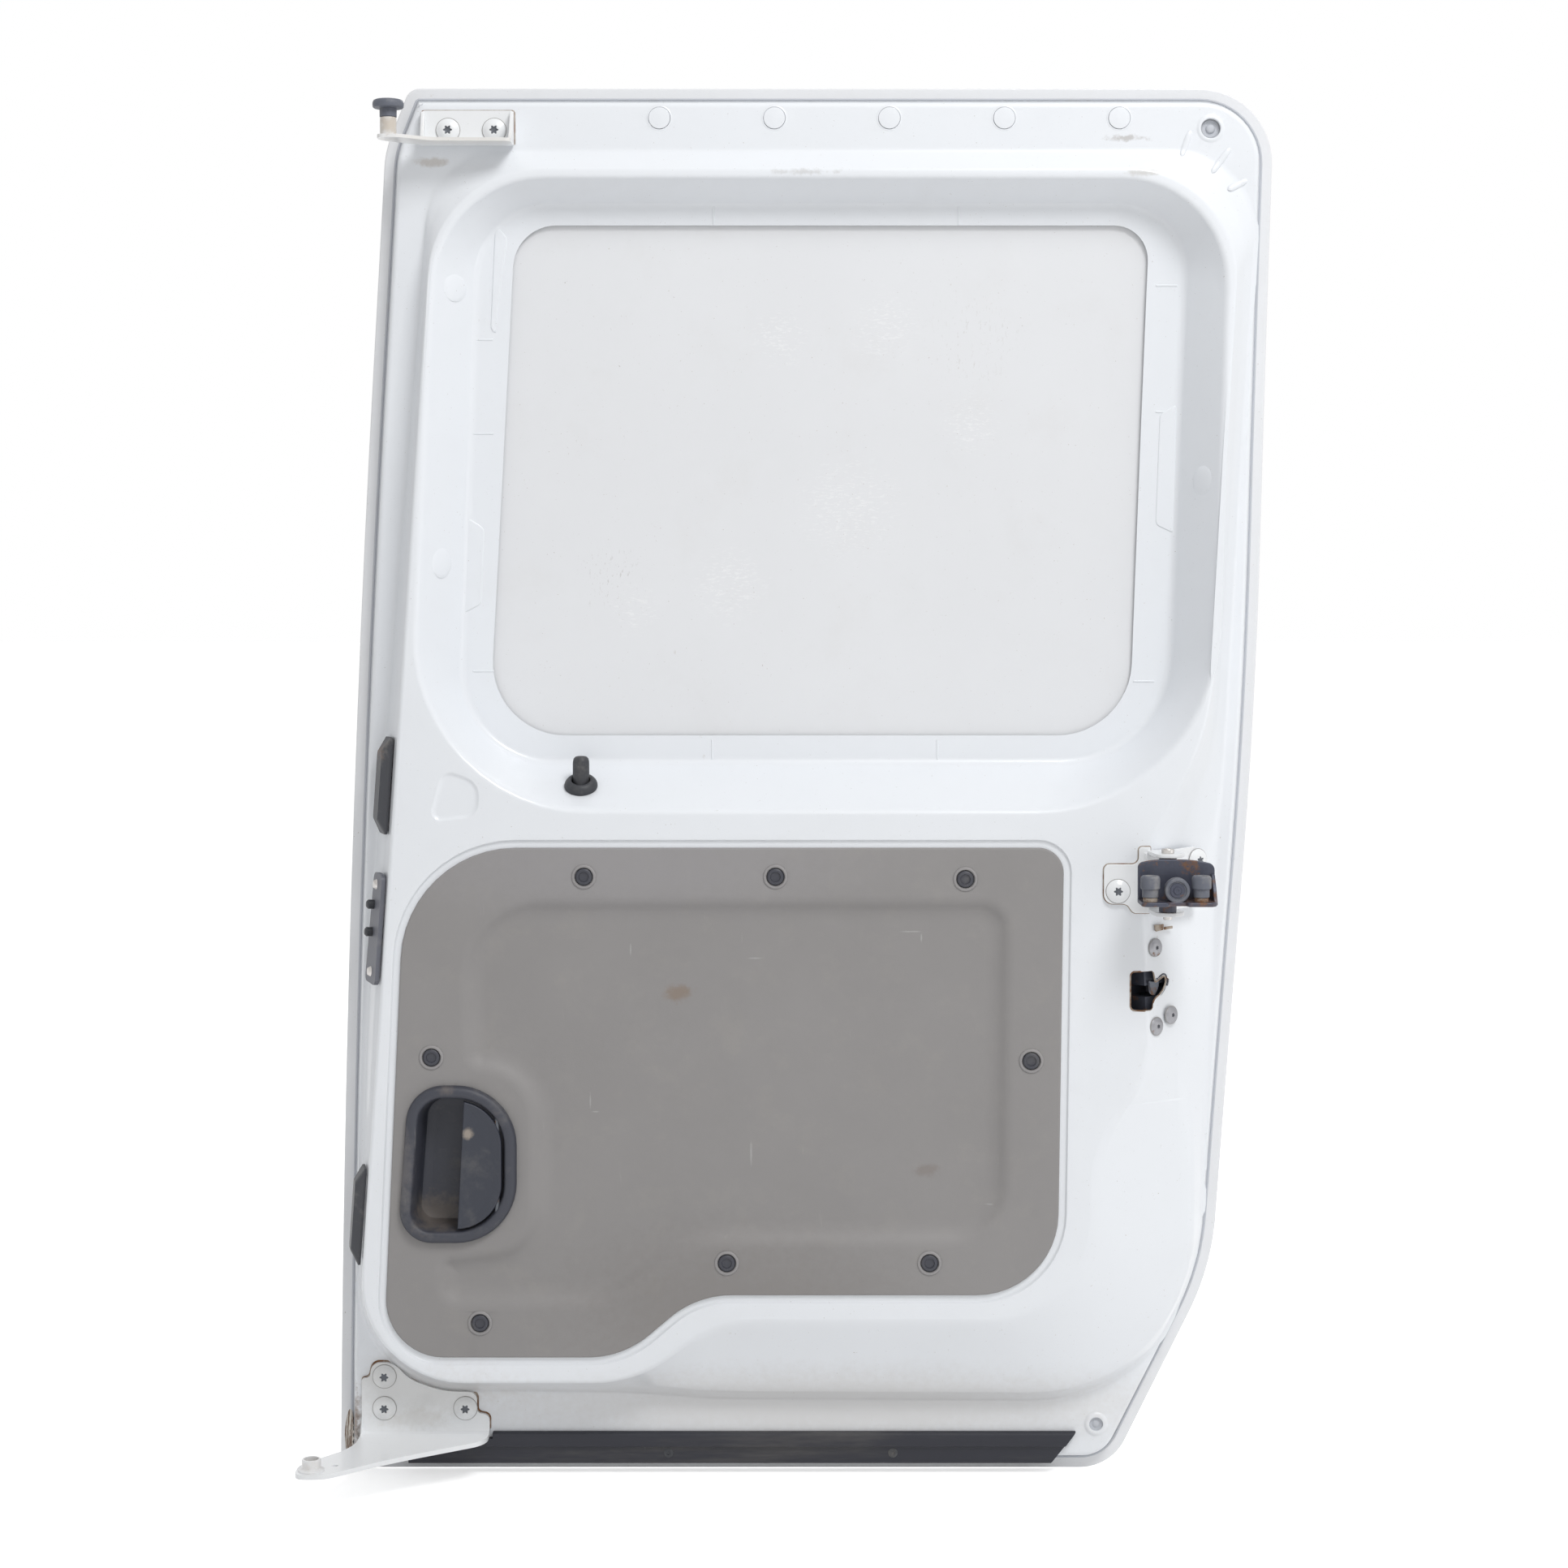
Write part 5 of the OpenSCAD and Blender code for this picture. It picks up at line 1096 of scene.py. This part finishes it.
for end, x in (("front", pivotX - 19), ("rear", pivotX + 24)):
    Shape(upDoor(x, trayY, rollLevel)).lathe(
        [(2.7, -0.4), (3, 0), (3, 3.4), (5.8, 3.5), (6, 4), (6, 6.9), (3, 7), (3, 16.4),
         (2.6, 17)], 32).piece(
        "guide_axle_" + end, "carriage", "zinc_steel", rustedEdge, ["guide_pin_" + end])
    Shape(upDoor(x, trayY + 7.3, rollLevel)).lathe(
        [(3.1, 0), (6.6, 0), (6.75, 0.4), (6.75, 6.6), (7.6, 7), (8.1, 7.4), (8.25, 8.4),
         (8.25, 15.6), (7.7, 17.2), (6.6, 18), (5.4, 17.9), (4.9, 17.2), (0.4, 17)]).piece(
        "guide_wheel_" + end, "guide_roller_" + end, "roller_nylon", rollerNylon,
        ["guide_roller_" + end])
boltHeads("latch_screw_heads", "zinc_steel", screwSteel, "latch_screws", latchScrew,
          [rearWall(-130, 0.85), rearWall(-198, 0.87), rearWall(-190, 0.63)])
tab = [(-2.5, -5, 1), (2.5, -6, 1), (3, 5, 1), (-3, 4, 1)]
joined(Shape(rearWall(-113, 0.80)).prism(tab, 0, 1.6, 0.4),
       Shape(rearWall(-114, 0.66)).prism(block(-1.2, -5, 1.2, 5, 0.5), 0, 1.2, 0.3)).piece(
    "rear_wall_tab", "door", "zinc_steel", rustedEdge)

print("stage: plugs and seal")
turnedAt(plugPlaces, topLand + 0.6, [
    (8, -2), (9, -0.4), (9.3, 0.1), (9.25, 0.5), (8.8, 0.8), (0.5, 0.9)]).piece(
    "top_band_plugs", "door", "inner_paint", innerPaint, ["top_plugs"])
turnedAt([accessHole], topLand - 3.4, [
    (8.8, 0), (8.8, 1), (7, 1.3), (6.4, 0.5), (4.2, 0.4), (3.6, 1.6), (2.6, 2.2),
    (0.4, 2.3)], 40).piece("access_hole_plug", "door", "seal_rubber", sealer)
turnedAt([cornerHole], baseLand - 1.4, [
    (7, 0), (7, 0.9), (6.2, 1.2), (5.4, 0.7), (3.4, 0.6), (2.6, 1.3), (0.4, 1.5)], 32).piece(
    "corner_hole_plug", "door", "seal_rubber", sealer)

seal = {"left": front + 62, "low": foot + 8, "length": 586, "notch": right + 3,
        "underArm": -565.4, "studs": [(-119, -578.5), (78, -578.5)]}
sealLow, sealEnd = seal["low"], seal["left"] + seal["length"] - 22
section = rounded([
    (sealLow, baseLand - 9, 1), (sealLow + 5, baseLand - 9, 1), (sealLow + 5, baseLand, 1),
    (sealLow + 29, baseLand, 1), (sealLow + 29, baseLand + 7, 3), (sealLow + 17, baseLand + 7, 1),
    (sealLow + 16, baseLand + 4, 1), (sealLow, baseLand + 2, 3)], 6, 3)
lowSection = [Vector((min(p.x, seal["underArm"]), p.y)) for p in section]
underArm = [(x, 0) for x in np.linspace(seal["left"], seal["notch"], 6).tolist()]
clearOfArm = [(x, 0) for x in np.linspace(seal["notch"], sealEnd - 20, 24).tolist()]
joined(*(Shape().loft([[(x + (p.x - sealLow) * slant, p.x, p.y) for p in outline]
                       for x, slant in run], True, True)
         for outline, run in ((lowSection, underArm),
                              (section, clearOfArm + [(sealEnd, 0.75)])))).piece(
    "sill_seal_strip", "door", "seal_rubber", sealRubber, ["sill_seal"])
turnedAt(seal["studs"], baseLand + 3.2, [
    (4.2, 0), (4.2, 0.5), (3.6, 0.9), (1.8, 1.1), (1.5, 0.5), (0.3, 0.4)], 24).piece(
    "seal_studs", "door", "seal_rubber", blackPlastic)
# the dark linings paint the shade inside the bolt recesses
joined(*starRecessShades).piece("bolt_recess_shades", "door", "zinc_steel", darkPinAndRecessShade)
# painted shadow rings round the bolt heads
joined(*boltShadowRings).piece("bolt_shadow_rings", "door", "zinc_steel", shadowRingGrey)

print("stage: outer handle")
grip = {"x": front + 150, "y": -70, "width": 190, "height": 62, "posts": 73, "postTop": -22,
        "barHalf": 13, "barNear": -22.4, "barMiddle": -29, "barFar": -35.9}
gripX, gripY, halfWidth, halfHeight = grip["x"], grip["y"], grip["width"] / 2, grip["height"] / 2
cup = block(gripX - halfWidth, gripY - halfHeight, gripX + halfWidth, gripY + halfHeight, 20)
cupRun = [(12, -1.5), (8.4, -1.6), (7.2, -2.1), (6.4, -2.8), (5.4, -3), (1.6, -3), (0.5, -2.7),
          (0, -2), (0, -0.8), (0.4, -0.2)]
Shape().loft(rings(cup, cupRun), True).piece(
    "outer_handle_dish", "door", "black_plastic", blackPlastic, ["outer_handle_cup"], sheet=0.3)
barRing = rounded(block(
    grip["barFar"], -grip["barHalf"], grip["barNear"], grip["barHalf"], 6), 6, 3)
rounds = [(85, 0.30), (84.4, 0.62), (82, 0.86), (78, 0.97), (70, 1), (30, 1)]
spans = [(-x, k) for x, k in rounds] + [(0, 1)] + rounds[::-1]
barMiddle = grip["barMiddle"]
joined(Shape().loft([[(gripX + x, gripY + p.y * k, barMiddle + (p.x - barMiddle) * k)
                      for p in barRing] for x, k in spans], True, True),
       *(Shape(moved(gripX + side * grip["posts"], gripY, grip["postTop"])).lathe(
           [(8.4, -2), (7.6, 2), (7, 6), (7, 20.3)], 32) for side in (-1, 1))).piece(
    "outer_handle_bar", "door", "black_plastic", blackPlastic, ["outer_handle"])

# the solids that keep their own shape
kept = {"latch_body": (latchCaseAndShadeDark, 0.8), "lever_pin": (darkPinAndRecessShade, 0),
        "upper_wedge": (wedgePlastic, 1.2), "lower_wedge": (wedgePlastic, 1.2),
        "contact_plate": (contactPlastic, 0.8), "contact_screws": (zincSteel, 0.4),
        "contact_plunger_upper": (blackPlastic, 0.5), "contact_plunger_lower": (blackPlastic, 0.5)}
for name, (finish, width) in kept.items():
    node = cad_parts[name]
    node.data.materials.clear()
    node.data.materials.append(finish)
    if width:
        softEdge(node, width, 3, 28)

print("stage: camera and lights")
view = {"angle": 31.67, "tilt": 88.92, "shift": -0.10, "far": 50,
        "place": (0.3969, -2.3076, 0.7557)}
camera = bpy.data.cameras.new("camera")
camera.angle = math.radians(view["angle"])
camera.shift_y = view["shift"]
camera.clip_end = view["far"]
cameraThing = link(bpy.data.objects.new("camera", camera))
cameraThing.location = view["place"]
cameraThing.rotation_euler = (math.radians(view["tilt"]), 0, 0)
bpy.context.scene.camera = cameraThing
bpy.context.scene.view_settings.view_transform = "Standard"

light = {"world": 0.54, "floorGlow": 0.56, "floor": (0.86, 0.86, 0.86), "floorLevel": -0.034,
         "floorReach": 30}
lamps = {"key": (1.1, 57, (1.5, -1.9, 3.1), (0.41, 0.05, 0.6)),
         "back": (2.0, 24, (0.9, 2.4, 1.8), (0.41, 0.1, 0.6)),
         "side": (0.5, 0.7, (1.6, -0.35, 0.5), (0.76, 0.08, 0.45))}
for name, (size, power, place, aim) in lamps.items():
    area = bpy.data.lights.new(name, "AREA")
    area.size = size
    area.energy = power
    lampThing = link(bpy.data.objects.new(name, area))
    lampThing.location = place
    lampThing.rotation_euler = (Vector(aim) - Vector(place)).to_track_quat("-Z", "Y").to_euler()


def choose(build, plain, shown, output):
    # plain is what lights the object, shown is what the camera, a mirror or glass sees
    seen = build.add("ShaderNodeLightPath", out="Is Camera Ray")
    path = seen.socket.node
    for other in ("Is Glossy Ray", "Is Transmission Ray"):
        seen = seen.join("MAXIMUM", Wire(build, path.outputs[other]))
    build.put(output.inputs["Surface"], build.add(
        "ShaderNodeMixShader", None, {0: seen, 1: plain, 2: shown}))


world = bpy.data.worlds.new("room")
bpy.context.scene.world = world
world.use_nodes = True
room = Nodes(world.node_tree)
plain = room.tree.nodes["Background"]
room.put(plain.inputs["Color"], (1, 1, 1))
room.put(plain.inputs["Strength"], light["world"])
white = room.add("ShaderNodeBackground", None, {"Color": (1, 1, 1), "Strength": 1})
choose(room, Wire(room, plain.outputs[0]), white, room.tree.nodes["World Output"])

floorMesh = bpy.data.meshes.new("floor")
floorMesh.from_pydata([(light["floorReach"] * i, light["floorReach"] * j, light["floorLevel"])
                       for i, j in ((-1, -1), (1, -1), (1, 1), (-1, 1))], [], [(0, 1, 2, 3)])
floor = link(bpy.data.objects.new("floor", floorMesh))
floorFinish = Finish("floor")
floorMesh.materials.append(floorFinish.done(light["floor"], 0.8))
glowing = floorFinish.add("ShaderNodeBsdfPrincipled", None, {
    "Base Color": light["floor"], "Roughness": 0.8, "Emission Color": (1, 1, 1),
    "Emission Strength": light["floorGlow"]})
choose(floorFinish, Wire(floorFinish, floorFinish.shader.outputs[0]), glowing,
       floorFinish.tree.nodes["Material Output"])
